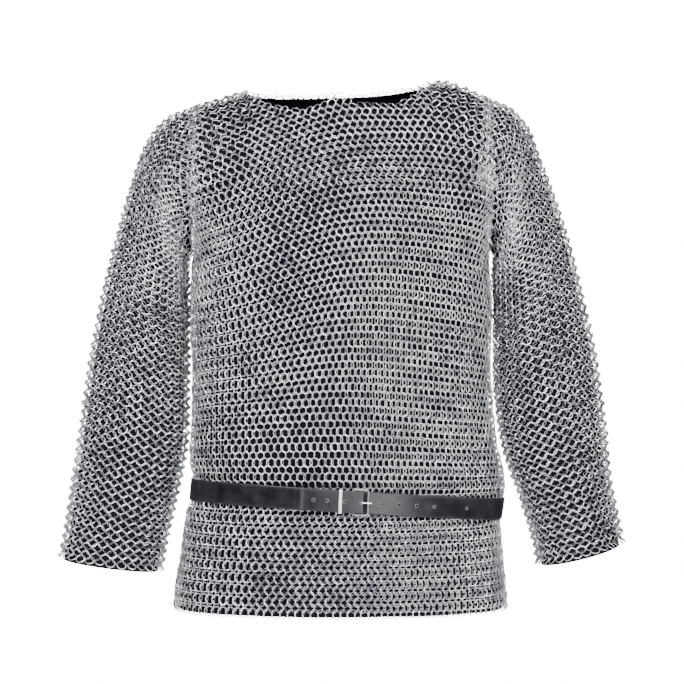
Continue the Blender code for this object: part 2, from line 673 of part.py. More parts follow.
def build_keeper():
    """Slim metal loop that holds the tail down on the strap."""
    thick = KEEPER_THICK
    half = BELT_WIDTH / 2 + SEAM_GAP
    inside = BUCKLE_LIFT - SEAM_GAP
    outside = BUCKLE_LIFT + 2 * BELT_THICK + 2 * SEAM_GAP
    inner = [(-half, inside), (half, inside), (half, outside), (-half, outside)]
    grown = [(-half - thick, inside - thick), (half + thick, inside - thick),
             (half + thick, outside + thick), (-half - thick, outside + thick)]
    vertices = []
    for x in (KEEPER_X - KEEPER_BROAD / 2, KEEPER_X + KEEPER_BROAD / 2):
        vertices += [belt_point(x, height, level) for height, level in inner + grown]
    faces = []
    for j in range(4):
        k = (j + 1) % 4
        faces.append([j, k, 8 + k, 8 + j])
        faces.append([4 + j, 12 + j, 12 + k, 4 + k])
        faces.append([j, 4 + j, 4 + k, k])
        faces.append([8 + j, 8 + k, 12 + k, 12 + j])
    finish(solid("belt_keeper", vertices, faces), *NICKEL)


def main():
    for thing in list(bpy.data.objects):
        bpy.data.objects.remove(thing)
    panels = [panel_points(1), panel_points(-1)]
    for name, (points, normals) in zip(("mail_front", "mail_back"), panels):
        finish(wall_mesh(name, points, normals, WALL, False), *STEEL)
    for name, side in (("sleeve_right", -1), ("sleeve_left", 1)):
        points, normals = sleeve_points(panels, side)
        finish(wall_mesh(name, points, normals, WALL, True), *STEEL)
    build_strap()
    build_buckle()
    build_prong()
    build_keeper()


main()
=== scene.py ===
"""Looks of the mail shirt and its belt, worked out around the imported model.

The shirt is European four-in-one mail: every ring holds four neighbours.  Its cut is
a T: the rows run level round the body and go on, unbroken, as the lengthways rows of
the sleeves.  The rings lie just inside the outer faces of the construction's walls;
only the left sleeve's inner side stands up to 2.6 mm nearer to the body than there.
Metres, +Z up, the front faces -Y.
"""
import logging
import math
from dataclasses import dataclass, field
from enum import Enum
from typing import NamedTuple

import bmesh
import bpy
import numpy as np
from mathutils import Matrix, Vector


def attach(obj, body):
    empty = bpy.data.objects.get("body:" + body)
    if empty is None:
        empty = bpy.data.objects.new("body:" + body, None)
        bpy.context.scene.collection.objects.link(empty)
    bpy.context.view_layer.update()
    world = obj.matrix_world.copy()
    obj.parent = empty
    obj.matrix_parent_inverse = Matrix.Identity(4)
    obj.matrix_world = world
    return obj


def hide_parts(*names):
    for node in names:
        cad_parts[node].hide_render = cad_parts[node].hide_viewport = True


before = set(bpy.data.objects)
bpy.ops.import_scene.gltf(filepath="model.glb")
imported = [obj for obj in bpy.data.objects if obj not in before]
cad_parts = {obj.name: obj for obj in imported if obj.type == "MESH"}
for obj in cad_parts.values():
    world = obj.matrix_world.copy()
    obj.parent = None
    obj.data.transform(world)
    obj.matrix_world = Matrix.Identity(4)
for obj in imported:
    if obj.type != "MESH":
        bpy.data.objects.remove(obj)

Array = np.ndarray
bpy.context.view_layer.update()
BODY = "root"
FLAT_TOP = 4     # power of a bell with a flat top
log = logging.getLogger("mail_shirt")


class Side(Enum):
    """The wearer's right or left; the value is the sign of x."""
    RIGHT = -1
    LEFT = 1


class Face(Enum):
    """The front or the back of the body; the value counts towards the front."""
    FRONT = 1
    BACK = -1


class Level(NamedTuple):
    """One level of the body: half width, middle, and depth before and behind."""
    z: float
    half_width: float
    middle_x: float
    front: float
    back: float


class EdgePoint(NamedTuple):
    """Height of the shoulder ridge or of the neck edge at one place across."""
    x: float
    z: float


class SleeveCut(NamedTuple):
    """One cross cut of a sleeve: its body side and outer side, x counted outwards."""
    inner_x: float
    inner_z: float
    outer_x: float
    outer_z: float
    middle_y: float
    half_depth: float
    roundness: float


class Fold(NamedTuple):
    """A soft ridge, or a trough if its height is negative."""
    top_x: float
    top_z: float
    foot_x: float
    foot_z: float
    height: float
    width: float


def table(kind: type, *rows: tuple) -> tuple:
    """A table: one named row for each tuple of numbers."""
    return tuple(kind(*row) for row in rows)


LEVELS = table(
    Level,
    (-0.6700, 0.2165, -0.0007, 0.1450, 0.1400),
    (-0.6400, 0.2139, -0.0007, 0.1430, 0.1370),
    (-0.5960, 0.2080, 0.0010, 0.1390, 0.1330),
    (-0.5650, 0.2055, 0.0020, 0.1360, 0.1300),
    (-0.5275, 0.2048, 0.0080, 0.1340, 0.1270),
    (-0.4900, 0.2005, 0.0065, 0.1340, 0.1260),
    (-0.4300, 0.1960, 0.0030, 0.1350, 0.1260),
    (-0.3600, 0.1934, 0.0010, 0.1350, 0.1270),
    (-0.2800, 0.1955, 0.0005, 0.1340, 0.1300),
    (-0.2150, 0.1920, 0.0000, 0.1300, 0.1310),
    (-0.1300, 0.1920, 0.0000, 0.1250, 0.1230),
)
WAIST = LEVELS[4]        # the belt's level
RIDGE_LINE = table(
    EdgePoint,
    (-0.192, -0.0180), (-0.160, -0.0080), (-0.122, 0.0030),
    (0.113, 0.0145), (0.140, 0.0140), (0.168, 0.0040),
    (0.192, -0.0075),
)
NECK_LINE = {
    Face.FRONT: table(
        EdgePoint,
        (-0.122, 0.0030), (-0.100, -0.0110), (-0.056, -0.0270),
        (-0.015, -0.0170), (0.020, -0.0170), (0.055, -0.0200),
        (0.090, -0.0080), (0.113, 0.0145)),
    Face.BACK: table(
        EdgePoint,
        (-0.122, 0.0030), (-0.060, 0.0060), (0.050, 0.0100),
        (0.113, 0.0145)),
}
SLEEVE_CUTS = {
    Side.RIGHT: table(
        SleeveCut,
        (0.1937, -0.2125, 0.2070, -0.0240, 0.000, 0.084, 0.00),
        (0.1958, -0.2150, 0.2220, -0.0300, 0.000, 0.085, 0.05),
        (0.1968, -0.2260, 0.2440, -0.0500, 0.000, 0.085, 0.20),
        (0.1970, -0.2400, 0.2610, -0.0820, 0.000, 0.083, 0.45),
        (0.1970, -0.2580, 0.2760, -0.1270, 0.002, 0.078, 0.70),
        (0.1970, -0.2850, 0.2935, -0.1890, 0.003, 0.071, 0.90),
        (0.1965, -0.3250, 0.3120, -0.2650, 0.003, 0.065, 1.00),
        (0.1965, -0.3850, 0.3270, -0.3450, 0.000, 0.060, 1.00),
        (0.1980, -0.4560, 0.3385, -0.4300, -0.007, 0.056, 1.00),
        (0.2105, -0.5230, 0.3480, -0.5000, -0.016, 0.054, 1.00),
        (0.2240, -0.5860, 0.3565, -0.5650, -0.027, 0.055, 1.00),
        (0.2290, -0.6230, 0.3640, -0.6050, -0.033, 0.055, 1.00)),
    Side.LEFT: table(
        SleeveCut,
        (0.1937, -0.2105, 0.2080, -0.0140, 0.000, 0.084, 0.00),
        (0.1960, -0.2150, 0.2250, -0.0230, 0.000, 0.085, 0.05),
        (0.1975, -0.2260, 0.2450, -0.0480, 0.000, 0.085, 0.20),
        (0.1954, -0.2400, 0.2580, -0.0820, 0.000, 0.083, 0.45),
        (0.1964, -0.2580, 0.2755, -0.1275, 0.002, 0.078, 0.70),
        (0.1974, -0.2850, 0.2960, -0.1890, 0.003, 0.071, 0.90),
        (0.1980, -0.3250, 0.3155, -0.2650, 0.003, 0.066, 1.00),
        (0.1992, -0.3900, 0.3325, -0.3450, 0.000, 0.062, 1.00),
        (0.2085, -0.4600, 0.3435, -0.4300, -0.007, 0.060, 1.00),
        (0.2300, -0.5250, 0.3495, -0.5000, -0.016, 0.062, 1.00),
        (0.2460, -0.5800, 0.3585, -0.5520, -0.027, 0.065, 1.00),
        (0.2510, -0.6145, 0.3654, -0.5860, -0.033, 0.066, 1.00)),
}
FOLDS = {
    Face.FRONT: table(
        Fold,
        (-0.070, -0.040, -0.175, -0.175, 0.0035, 0.028),
        (-0.020, -0.060, -0.165, -0.260, -0.0030, 0.030),
        (0.165, -0.050, 0.178, -0.230, 0.0040, 0.014),
        (0.140, -0.060, 0.150, -0.250, -0.0030, 0.016),
        (0.002, -0.020, 0.020, -0.062, 0.0022, 0.012),
        (-0.110, -0.540, -0.125, -0.690, 0.0040, 0.024),
        (-0.030, -0.545, -0.030, -0.690, -0.0030, 0.026),
        (0.060, -0.545, 0.065, -0.690, 0.0030, 0.026),
        (0.150, -0.550, 0.160, -0.690, 0.0040, 0.022),
        (-0.150, -0.330, -0.160, -0.500, 0.0030, 0.020),
        (0.120, -0.360, 0.130, -0.510, 0.0030, 0.024)),
    Face.BACK: table(
        Fold,
        (0.060, -0.060, 0.165, -0.220, 0.0035, 0.028),
        (-0.060, -0.060, -0.165, -0.230, 0.0035, 0.028),
        (0.000, -0.300, 0.005, -0.500, -0.0030, 0.030),
        (0.120, -0.320, 0.125, -0.510, 0.0030, 0.024),
        (-0.110, -0.340, -0.120, -0.510, 0.0030, 0.024),
        (-0.130, -0.545, -0.140, -0.690, 0.0040, 0.022),
        (-0.045, -0.545, -0.045, -0.690, -0.0030, 0.026),
        (0.050, -0.545, 0.050, -0.690, 0.0035, 0.026),
        (0.140, -0.550, 0.150, -0.690, 0.0035, 0.022)),
}
SLEEVE_FOLDS = table(
    Fold,
    (0.215, -0.060, 0.225, -0.190, 0.0040, 0.010),
    (0.250, -0.300, 0.215, -0.345, 0.0030, 0.012),
    (0.300, -0.330, 0.225, -0.420, 0.0030, 0.014),
    (0.320, -0.430, 0.240, -0.500, -0.0030, 0.016),
    (0.290, -0.480, 0.300, -0.600, 0.0030, 0.018),
)


class RowLevel(NamedTuple):
    """Row numbers along one level: at the side edges and at three places between.

    The way up is 0 at the hem, 1 at the underarm and 2 where the shoulder starts to
    curve back.  Rows are counted from the hem.
    """
    way: float
    right_edge: float
    right: float
    middle: float
    left: float
    left_edge: float


class ColumnLevel(NamedTuple):
    """Column numbers at three places of one level; 3 is the ridge or the neck edge."""
    way: float
    right: float
    middle: float
    left: float


ROW_LEVELS = {
    Face.FRONT: table(
        RowLevel,
        (0.000, -0.9, -0.9, -0.9, -0.9, -0.9),
        (0.313, 18.3, 18.3, 18.3, 18.3, 18.3),
        (0.527, 30.8, 29.5, 28.7, 29.7, 30.5),
        (0.857, 51.8, 49.6, 45.2, 46.3, 48.2),
        (1.000, 61.5, 58.4, 52.7, 53.3, 55.5),
        (2.000, 72.0, 69.4, 62.9, 63.0, 64.5)),
    Face.BACK: table(
        RowLevel,
        (0.000, -0.9, -0.9, -0.9, -0.9, -0.9),
        (0.313, 18.3, 18.3, 18.3, 18.3, 18.3),
        (0.527, 30.8, 29.6, 29.0, 29.6, 30.5),
        (0.857, 51.8, 49.4, 47.4, 47.2, 48.2),
        (1.000, 61.5, 58.0, 55.3, 54.6, 55.5),
        (2.000, 72.0, 68.9, 65.4, 64.3, 64.5)),
}
UNDERARM_LEVEL = ROW_LEVELS[Face.FRONT][4]   # where the way up is 1
COLUMN_LEVELS = {
    Face.FRONT: table(
        ColumnLevel,
        (0.000, -16.4, 0.5, 20.6),
        (0.313, -16.4, 0.5, 20.6),
        (0.527, -16.3, 0.4, 20.6),
        (0.857, -15.6, 0.4, 20.4),
        (1.000, -14.0, 0.7, 19.4),
        (2.000, -12.1, 2.0, 18.6),
        (2.500, -8.8, 3.8, 18.5),
        (3.000, -7.6, 4.9, 18.2)),
    Face.BACK: table(
        ColumnLevel,
        (0.000, -14.5, 2.7, 20.0),
        (0.857, -14.3, 2.7, 19.8),
        (1.000, -13.5, 2.7, 19.2),
        (2.000, -11.8, 3.0, 18.4),
        (2.500, -8.8, 3.9, 18.4),
        (3.000, -7.6, 4.9, 18.2)),
}
ROW_PLACES = (-1.0, -0.575, 0.0, 0.575, 1.0)   # way round the face, -1 to 1, by length
COLUMN_PLACES = ROW_PLACES[1:-1]


def smooth_curve(xs: Array, ys: Array, at: Array) -> Array:
    """Smooth curve through points: cubic pieces whose slopes are the points' own.

    Args:
        xs: Places of the points, growing.
        ys: Values at the points; a second axis holds further curves.
        at: Places to read.

    Returns:
        The values at `at`.
    """
    xs, ys = np.asarray(xs, float), np.asarray(ys, float)
    slopes = np.gradient(ys, xs, axis=0)
    at = np.clip(np.asarray(at, float), xs[0], xs[-1])
    i = np.clip(np.searchsorted(xs, at, side="right") - 1, 0, len(xs) - 2)
    width = xs[i + 1] - xs[i]
    t = (at - xs[i]) / width
    if ys.ndim > 1:
        width, t = width[..., None], t[..., None]
    return ((2 * t**3 - 3 * t**2 + 1) * ys[i] + (t**3 - 2 * t**2 + t) * width * slopes[i]
            + (3 * t**2 - 2 * t**3) * ys[i + 1] + (t**3 - t**2) * width * slopes[i + 1])


def column(rows: tuple, name: str) -> Array:
    """One named column of a table as an array."""
    return np.array([getattr(row, name) for row in rows], float)


def oval(fraction: Array, power: float) -> Array:
    """Height of a squared-off oval of unit radius at a fraction of its half width."""
    return np.clip(1 - np.abs(fraction)**power, 0, None)**(1 / power)


def unit(vectors: Array) -> Array:
    """Vectors made one long along the last axis."""
    return vectors / np.linalg.norm(vectors, axis=-1, keepdims=True)


def lay_flat(directions: Array, normals: Array) -> Array:
    """Unit directions turned into the planes that have these normals."""
    return unit(directions - (directions * normals).sum(-1, keepdims=True) * normals)


def run_length(points: Array) -> Array:
    """Length along the first axis, from its first point to each of its points."""
    steps = np.linalg.norm(np.diff(points, axis=0), axis=-1)
    return np.concatenate([np.zeros((1, *steps.shape[1:])), np.cumsum(steps, axis=0)])


def bell(share: Array, power: int = 2) -> Array:
    """Bell curve: 1 at 0, and falling away from 1 on; a higher power flattens its top."""
    return np.exp(-share**power)


def fold_relief(x: Array, z: Array, folds: tuple) -> Array:
    """Lift of the wall by its folds: each is a sine along its length and a bell across.

    Args:
        x: Places across.
        z: Heights.
        folds: The folds.

    Returns:
        The lift in metres.
    """
    lift = np.zeros(np.broadcast(x, z).shape)
    for fold in folds:
        along = np.array([fold.foot_x - fold.top_x, fold.foot_z - fold.top_z])
        length = np.hypot(*along)
        along = along / length
        dx, dz = x - fold.top_x, z - fold.top_z
        t = (dx * along[0] + dz * along[1]) / length
        side = dx * along[1] - dz * along[0]
        taper = np.clip(1 - np.abs(2 * t - 1), 0, 1)
        rise = fold.height * np.sin(math.pi / 2 * taper)**2
        lift = lift + rise * bell(side / fold.width)
    return lift


def grid_normals(points: Array, closed: bool) -> Array:
    """Unit normals of a grid of points, rows by columns.

    Args:
        points: The grid.
        closed: Whether the columns run round a loop.

    Returns:
        Cross products of the steps along the columns and along the rows.
    """
    if closed:
        along = np.roll(points, -1, axis=1) - np.roll(points, 1, axis=1)
    else:
        along = np.gradient(points, axis=1)
    return unit(np.cross(along, np.gradient(points, axis=0)))


def read_grid(grid: Array, row: Array, place: Array) -> Array:
    """Values of a grid between its points, weighted by nearness in both directions."""
    i = np.clip(row.astype(int), 0, grid.shape[0] - 2)
    j = np.clip(place.astype(int), 0, grid.shape[1] - 2)
    s, t = (row - i)[..., None], (place - j)[..., None]
    return ((1 - s) * ((1 - t) * grid[i, j] + t * grid[i, j + 1])
            + s * ((1 - t) * grid[i + 1, j] + t * grid[i + 1, j + 1]))


@dataclass(frozen=True)
class ShirtForm:
    """The shirt's worn shape; but for the left sleeve's cuts its sizes are those of the
    construction's walls.
    """
    hem_z: float = -0.670
    underarm_z: float = -0.215
    chest_z: float = -0.130
    armhole_x: float = 0.192
    armhole_flare: float = 0.5
    section_power: float = 2.3
    neck_centre_x: float = -0.0045
    neck_half_width: float = 0.1175
    neck_depth: dict = field(default_factory=lambda: {Face.FRONT: 0.100, Face.BACK: 0.072})
    neck_power: float = 2.2
    neck_roll: float = math.radians(75)
    belt_z: float = -0.5275
    belt_tilt: float = -0.0625
    belt_front_rise: float = 0.004
    belt_groove: float = 0.004
    belt_groove_half: float = 0.022
    belt_spill: float = 0.003
    belt_spill_above: float = 0.048
    belt_spill_half: float = 0.022
    folds_fade: float = 0.030
    lower_rows: int = 90
    chest_rows: int = 16
    shoulder_rows: int = 40
    places: int = 161
    shoulder_cuts: int = 6
    arm_steps: int = 90

    def size(self, name: str, z: Array) -> Array:
        """One column of the table of levels at the heights z."""
        return smooth_curve(column(LEVELS, "z"), column(LEVELS, name), z)

    def edge_height(self, line: tuple, x: Array) -> Array:
        """Height of the shoulder ridge or of a neck edge at the places x."""
        return smooth_curve(column(line, "x"), column(line, "z"), x)

    def waist_share(self, x: Array) -> Array:
        """Place across the waist: -1 and 1 at the sides, 0 in the middle."""
        return np.clip((x - WAIST.middle_x) / WAIST.half_width, -1, 1)

    def neck_share(self, x: Array) -> Array:
        """Place across the neck opening: -1 and 1 at its corners."""
        return (x - self.neck_centre_x) / self.neck_half_width

    def belt_height(self, x: Array, front: Array) -> Array:
        """Height of the belt's middle line: a tilt, and a rise towards the front."""
        return (self.belt_z + self.belt_tilt * x
                + self.belt_front_rise * front * oval(self.waist_share(x), 2))

    def relief(self, x: Array, z: Array, front: Array, folds: tuple) -> Array:
        """Groove under the belt, the mail bulging over it, and the folds."""
        above = z - self.belt_height(x, front)
        groove = -self.belt_groove * bell(above / self.belt_groove_half, FLAT_TOP)
        spill = self.belt_spill * bell((above - self.belt_spill_above) / self.belt_spill_half)
        free = 1 - bell(above / self.folds_fade, FLAT_TOP)
        return groove + spill + fold_relief(x, z, folds) * free

    def depth(self, x: Array, z: Array, name: str) -> Array:
        """Distance of the wall from the side plane: a squared-off oval at each level."""
        flare = self.armhole_flare * np.clip(z - self.underarm_z, 0, None)
        share = (x - self.size("middle_x", z)) / (self.size("half_width", z) + flare)
        return self.size(name, z) * oval(share, self.section_power)

    def panel(self, face: Face) -> tuple[Array, Array, Array]:
        """The front or back wall from the hem to the ridge and the neck edge.

        Below the underarm a row is half an oval at one level; above the chest each
        column turns back on a quarter oval that ends at the ridge or the neck edge.

        Args:
            face: Front or back.

        Returns:
            Points and outward normals, rows by places, and the places across, -1 to 1.
        """
        name = face.name.lower()
        folds, front = FOLDS[face], face.value
        angles = np.linspace(-math.pi / 2, math.pi / 2, self.places)
        across = np.sign(angles) * np.abs(np.sin(angles))**(2 / self.section_power)
        level = np.linspace(self.hem_z, self.underarm_z, self.lower_rows)[:, None]
        x = self.size("middle_x", level) + self.size("half_width", level) * across
        z = np.broadcast_to(level, x.shape)
        lower = np.stack([x, self.depth(x, z, name), z], axis=-1)
        level = np.linspace(self.underarm_z, self.chest_z, self.chest_rows + 1)[1:, None]
        x = np.broadcast_to(self.armhole_x * across, (self.chest_rows, across.size))
        z = np.broadcast_to(level, x.shape)
        chest = np.stack([x, self.depth(x, z, name), z], axis=-1)

        x = self.armhole_x * across
        chest_depth = self.depth(x, np.full_like(x, self.chest_z), name)
        from_neck = self.neck_share(x)
        neck_depth = self.neck_depth[face]
        edge_depth = neck_depth * oval(np.clip(from_neck, -1, 1), self.neck_power)
        edge_z = np.where(np.abs(from_neck) < 1, self.edge_height(NECK_LINE[face], x),
                          self.edge_height(RIDGE_LINE, x))
        roll = math.pi / 2 - (math.pi / 2 - self.neck_roll) * edge_depth / neck_depth
        turn = roll * np.linspace(0, 1, self.shoulder_rows + 1)[1:, None]
        share = (np.cos(turn) - np.cos(roll)) / (1 - np.cos(roll))
        y = edge_depth + (chest_depth - edge_depth) * share
        z = self.chest_z + (edge_z - self.chest_z) * np.sin(turn) / np.sin(roll)
        shoulder = np.stack([np.broadcast_to(x, y.shape), y, z], axis=-1)

        points = np.concatenate([lower, chest, shoulder])
        points[..., 1] *= -front
        normals = grid_normals(points, False) * front
        lift = self.relief(points[..., 0], points[..., 2], front, folds)
        points = points + lift[..., None] * normals
        return points, grid_normals(points, False) * front, across

    def sleeve(self, side: Side, loop: Array) -> tuple[Array, Array]:
        """A sleeve from its armhole loop to the cuff.

        Each cut blends the armhole's own shape into a plain oval between the inner
        and outer points of its table row.

        Args:
            side: Which sleeve.
            loop: Points round the armhole, from the ridge down the front and up the back.

        Returns:
            Points and outward normals, cuts by places round.
        """
        cuts, sign = SLEEVE_CUTS[side], side.value
        count = len(loop)
        top_z, low_z = loop[:, 2].max(), loop[:, 2].min()
        armhole = np.stack([(loop[:, 2] - (top_z + low_z) / 2) / ((top_z - low_z) / 2),
                            -loop[:, 1] / np.abs(loop[:, 1]).max()], axis=-1)
        angles = 2 * math.pi * (np.arange(count) + 0.5) / count
        plain = np.stack([np.cos(angles), np.sin(angles)], axis=-1)
        steps = np.concatenate([np.linspace(0, self.shoulder_cuts, 4 * self.shoulder_cuts)[:-1],
                                np.linspace(self.shoulder_cuts, len(cuts) - 1, self.arm_steps)])

        def read(name: str) -> Array:
            """One column of the sleeve's table at every step."""
            return smooth_curve(np.arange(len(cuts)), column(cuts, name), steps)

        inner = np.stack([read("inner_x"), read("inner_z")], axis=-1)
        outer = np.stack([read("outer_x"), read("outer_z")], axis=-1)
        centre, half = (inner + outer) / 2, (outer - inner) / 2
        share = read("roundness")[:, None, None]
        shape = armhole * (1 - share) + plain * share
        x = centre[:, :1] + half[:, :1] * shape[..., 0]
        z = centre[:, 1:] + half[:, 1:] * shape[..., 0]
        y = read("middle_y")[:, None] - read("half_depth")[:, None] * shape[..., 1]
        points = np.concatenate([loop[None], np.stack([sign * x, y, z], axis=-1)])
        normals = sign * grid_normals(points, True)
        on_front = np.clip(np.sin(angles), 0, None)
        lift = fold_relief(np.abs(points[..., 0]), points[..., 2], SLEEVE_FOLDS) * on_front
        lift[:2] = 0
        points = points + lift[..., None] * normals
        return points, sign * grid_normals(points, True)


@dataclass
class RingSet:
    """Rings of one piece: centres, plane normals, directions and the cloth's normals."""
    centre: list = field(default_factory=list)
    normal: list = field(default_factory=list)
    along: list = field(default_factory=list)
    cloth: list = field(default_factory=list)

    def add(self, centre: Array, normal: Array, along: Array, cloth: Array) -> None:
        """Take in a row of rings."""
        self.centre.append(centre)
        self.normal.append(normal)
        self.along.append(along)
        self.cloth.append(cloth)

    def arrays(self) -> tuple[Array, Array, Array, Array]:
        """All rings as four arrays."""
        lists = (self.centre, self.normal, self.along, self.cloth)
        return tuple(np.concatenate(part) for part in lists)


def torus_mesh(centre: Array, normal: Array, along: Array, radii: tuple[float, float],
               steps: tuple[int, int], spin: Array) -> tuple[Array, Array]:
    """Points and faces of many tori.

    A point is its centre + (R + r cos b)(cos a, sin a) in the torus's plane
    + r sin b along its normal.

    Args:
        centre: Centres.
        normal: Unit normals of the tori's planes.
        along: Directions that lie near the planes.
        radii: Mean radius R and wire radius r.
        steps: Points round the torus and round its wire.
        spin: Where each torus starts, radians.

    Returns:
        Points, tori by turns by sides, and the faces.
    """
    first = lay_flat(along, normal)
    second = np.cross(normal, first)
    turns, sides = steps
    a = 2 * math.pi * np.arange(turns) / turns + spin[:, None]
    b = 2 * math.pi * np.arange(sides) / sides
    outward = np.cos(a)[..., None] * first[:, None] + np.sin(a)[..., None] * second[:, None]
    radius = radii[0] + radii[1] * np.cos(b)
    points = (centre[:, None, None] + radius[:, None] * outward[:, :, None]
              + (radii[1] * np.sin(b))[:, None] * normal[:, None, None])
    turn, side = np.meshgrid(np.arange(turns), np.arange(sides), indexing="ij")
    after, beside = (turn + 1) % turns, (side + 1) % sides
    quads = np.stack([turn * sides + side, after * sides + side,
                      after * sides + beside, turn * sides + beside], -1).reshape(1, -1, 4)
    quads = quads + (np.arange(len(centre)) * turns * sides)[:, None, None]
    return points, quads.reshape(-1, 4)


@dataclass(frozen=True)
class Ring:
    """One closed wire ring and how rings lie in the net."""
    mean_radius: float = 0.00595
    wire_radius: float = 0.0008
    turns: int = 10
    wire_sides: int = 3
    lean: float = math.radians(24)
    packed_lean: float = math.radians(6.5) / 0.001   # more lean for each metre of closer rows
    loose_pitch: float = 0.0088
    closest: float = 0.0022
    place_play: float = 0.00018
    turn_play: float = 0.09

    @property
    def reach(self) -> float:
        """Distance from a ring's centre to its outer edge."""
        return self.mean_radius + self.wire_radius

    def poses(self, points: Array, normals: Array, along: Array, row_pitch: Array,
              parity: int) -> tuple[Array, Array, Array, Array]:
        """Turn one row of rings into the net's lean.

        The rings of a row all lean the same way along it, those of the next row the
        other way, and closer rows lean more.

        Args:
            points: Centres.
            normals: Outward normals of the cloth.
            along: Directions of the row.
            row_pitch: Distance to the next row at each ring.
            parity: 0 or 1 in turn from row to row.

        Returns:
            Centres, ring normals, in-plane directions and the cloth's normals.
        """
        along = lay_flat(along, normals)
        close = np.clip(self.loose_pitch - row_pitch, 0, self.closest)
        angle = (self.lean + self.packed_lean * close)[:, None] * (1 - 2 * parity)
        axis = np.cos(angle) * normals + np.sin(angle) * along
        return points, axis, unit(np.cross(normals, along)), normals

    def mesh(self, name: str, rings: RingSet, wall: float, seed: int) -> bpy.types.Object:
        """Join all rings of a piece in one mesh, with each ring's tone, and with each
        point's clearance from the dark wall, 0 at the wall and 1 well clear of it.

        Args:
            name: The piece's name.
            rings: The rings.
            wall: Depth of the dark wall below the rings' centres.
            seed: Start of the random play of places and turns.

        Returns:
            The new object.
        """
        centre, normal, along, cloth = rings.arrays()
        random = np.random.default_rng(seed)
        count = len(centre)
        middle = centre
        centre = centre + random.normal(0, self.place_play, centre.shape)
        normal = unit(normal + random.normal(0, self.turn_play, normal.shape))
        spin = random.uniform(0, 2 * math.pi, count)
        points, quads = torus_mesh(centre, normal, along, (self.mean_radius, self.wire_radius),
                                   (self.turns, self.wire_sides), spin)
        thing = mesh_object(name, points.reshape(-1, 3), quads)
        tone = np.repeat(random.uniform(0, 1, count), self.turns * self.wire_sides)
        add_value(thing, "ring_tone", tone)
        height = ((points - middle[:, None, None]) * cloth[:, None, None]).sum(-1)
        # clearance from the dark wall, which the ring steel turns into painted shade
        add_value(thing, "wall_clear", np.clip((height + wall) / (2 * wall), 0, 1))
        return thing


def grid_quads(rows: int, places: int, closed: bool) -> Array:
    """Faces of a grid of points, rows by places.

    Args:
        rows: Number of rows.
        places: Points in a row.
        closed: Whether the places run round a loop.

    Returns:
        The faces, four corners each.
    """
    i, j = np.meshgrid(np.arange(rows - 1), np.arange(places if closed else places - 1),
                       indexing="ij")
    k = (j + 1) % places
    return np.stack([i * places + j, i * places + k, (i + 1) * places + k,
                     (i + 1) * places + j], -1).reshape(-1, 4)


def link_object(name: str, data: bpy.types.ID) -> bpy.types.Object:
    """Make the object of a mesh, a light or a camera, and put it in the scene."""
    thing = bpy.data.objects.new(name, data)
    bpy.context.scene.collection.objects.link(thing)
    return thing


def mesh_object(name: str, points: Array, quads: Array) -> bpy.types.Object:
    """Make an object from points and faces of four corners, shaded smooth."""
    mesh = bpy.data.meshes.new(name)
    mesh.vertices.add(len(points))
    mesh.vertices.foreach_set("co", points.astype(np.float32).ravel())
    mesh.loops.add(quads.size)
    mesh.loops.foreach_set("vertex_index", quads.astype(np.int32).ravel())
    mesh.polygons.add(len(quads))
    mesh.polygons.foreach_set("loop_start", np.arange(0, quads.size, 4, dtype=np.int32))
    mesh.update(calc_edges=True)
    mesh.shade_smooth()
    return link_object(name, mesh)


def add_value(thing: bpy.types.Object, name: str, values: Array) -> None:
    """Keep one number for each point of a mesh under a name."""
    attribute = thing.data.attributes.new(name, "FLOAT", "POINT")
    attribute.data.foreach_set("value", np.asarray(values, np.float32).ravel())


def dress(thing: bpy.types.Object, finish: bpy.types.Material, node: str) -> bpy.types.Object:
    """Give a piece its finish and its place in the frame.

    Args:
        thing: The piece.
        finish: Its material.
        node: The solid that it stands for.

    Returns:
        The piece.
    """
    thing.data.materials.clear()
    thing.data.materials.append(finish)
    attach(thing, BODY)
    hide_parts(node)
    log.info("%s: %d faces", thing.name, len(thing.data.polygons))
    return thing


@dataclass
class Net:
    """Where the rings lie on the shirt: rows from the hem up, and columns across."""
    form: ShirtForm
    ring: Ring = field(default_factory=Ring)
    arm_rows: int = 30            # rows from the underarm to the ridge, on each face
    side_columns: dict = field(default_factory=lambda: {Side.RIGHT: 27.25, Side.LEFT: 32.75})
    shoulder_gain: dict = field(default_factory=lambda: {Side.RIGHT: 14.0, Side.LEFT: 9.0})
    gain_power: float = 2.4
    arm_columns: dict = field(default_factory=lambda: {Side.RIGHT: 38.0, Side.LEFT: 41.0})
    neck_row_pitch: float = 0.0080
    neck_row_power: int = 3       # a high one keeps that distance nearly across the neck
    crowding: float = 0.16        # rows lie closer where the shoulder starts to curve
    neck_clearance: float = 0.0058
    body_depth: float = 0.0026    # ring centres below the wall's outer face
    arm_depth: float = 0.0024
    split_row: int = 36           # the panels' rings are two pieces, met at this row

    def underarm_row(self, side: Side) -> float:
        """Row at which the side seam ends and the sleeve starts."""
        return UNDERARM_LEVEL.right_edge if side is Side.RIGHT else UNDERARM_LEVEL.left_edge

    def ridge_row(self, side: Side) -> float:
        """Row of the fold along the top of the shoulder."""
        return self.underarm_row(side) + self.arm_rows

    def edge_columns(self, side: Side, rows: Array) -> Array:
        """Columns from the middle to the side seam, fewer where the sleeve takes them over."""
        share = np.clip((rows - self.underarm_row(side)) / self.arm_rows, 0, 1)
        gained = 1 - (1 - share)**self.gain_power
        return self.side_columns[side] - self.shoulder_gain[side] * gained


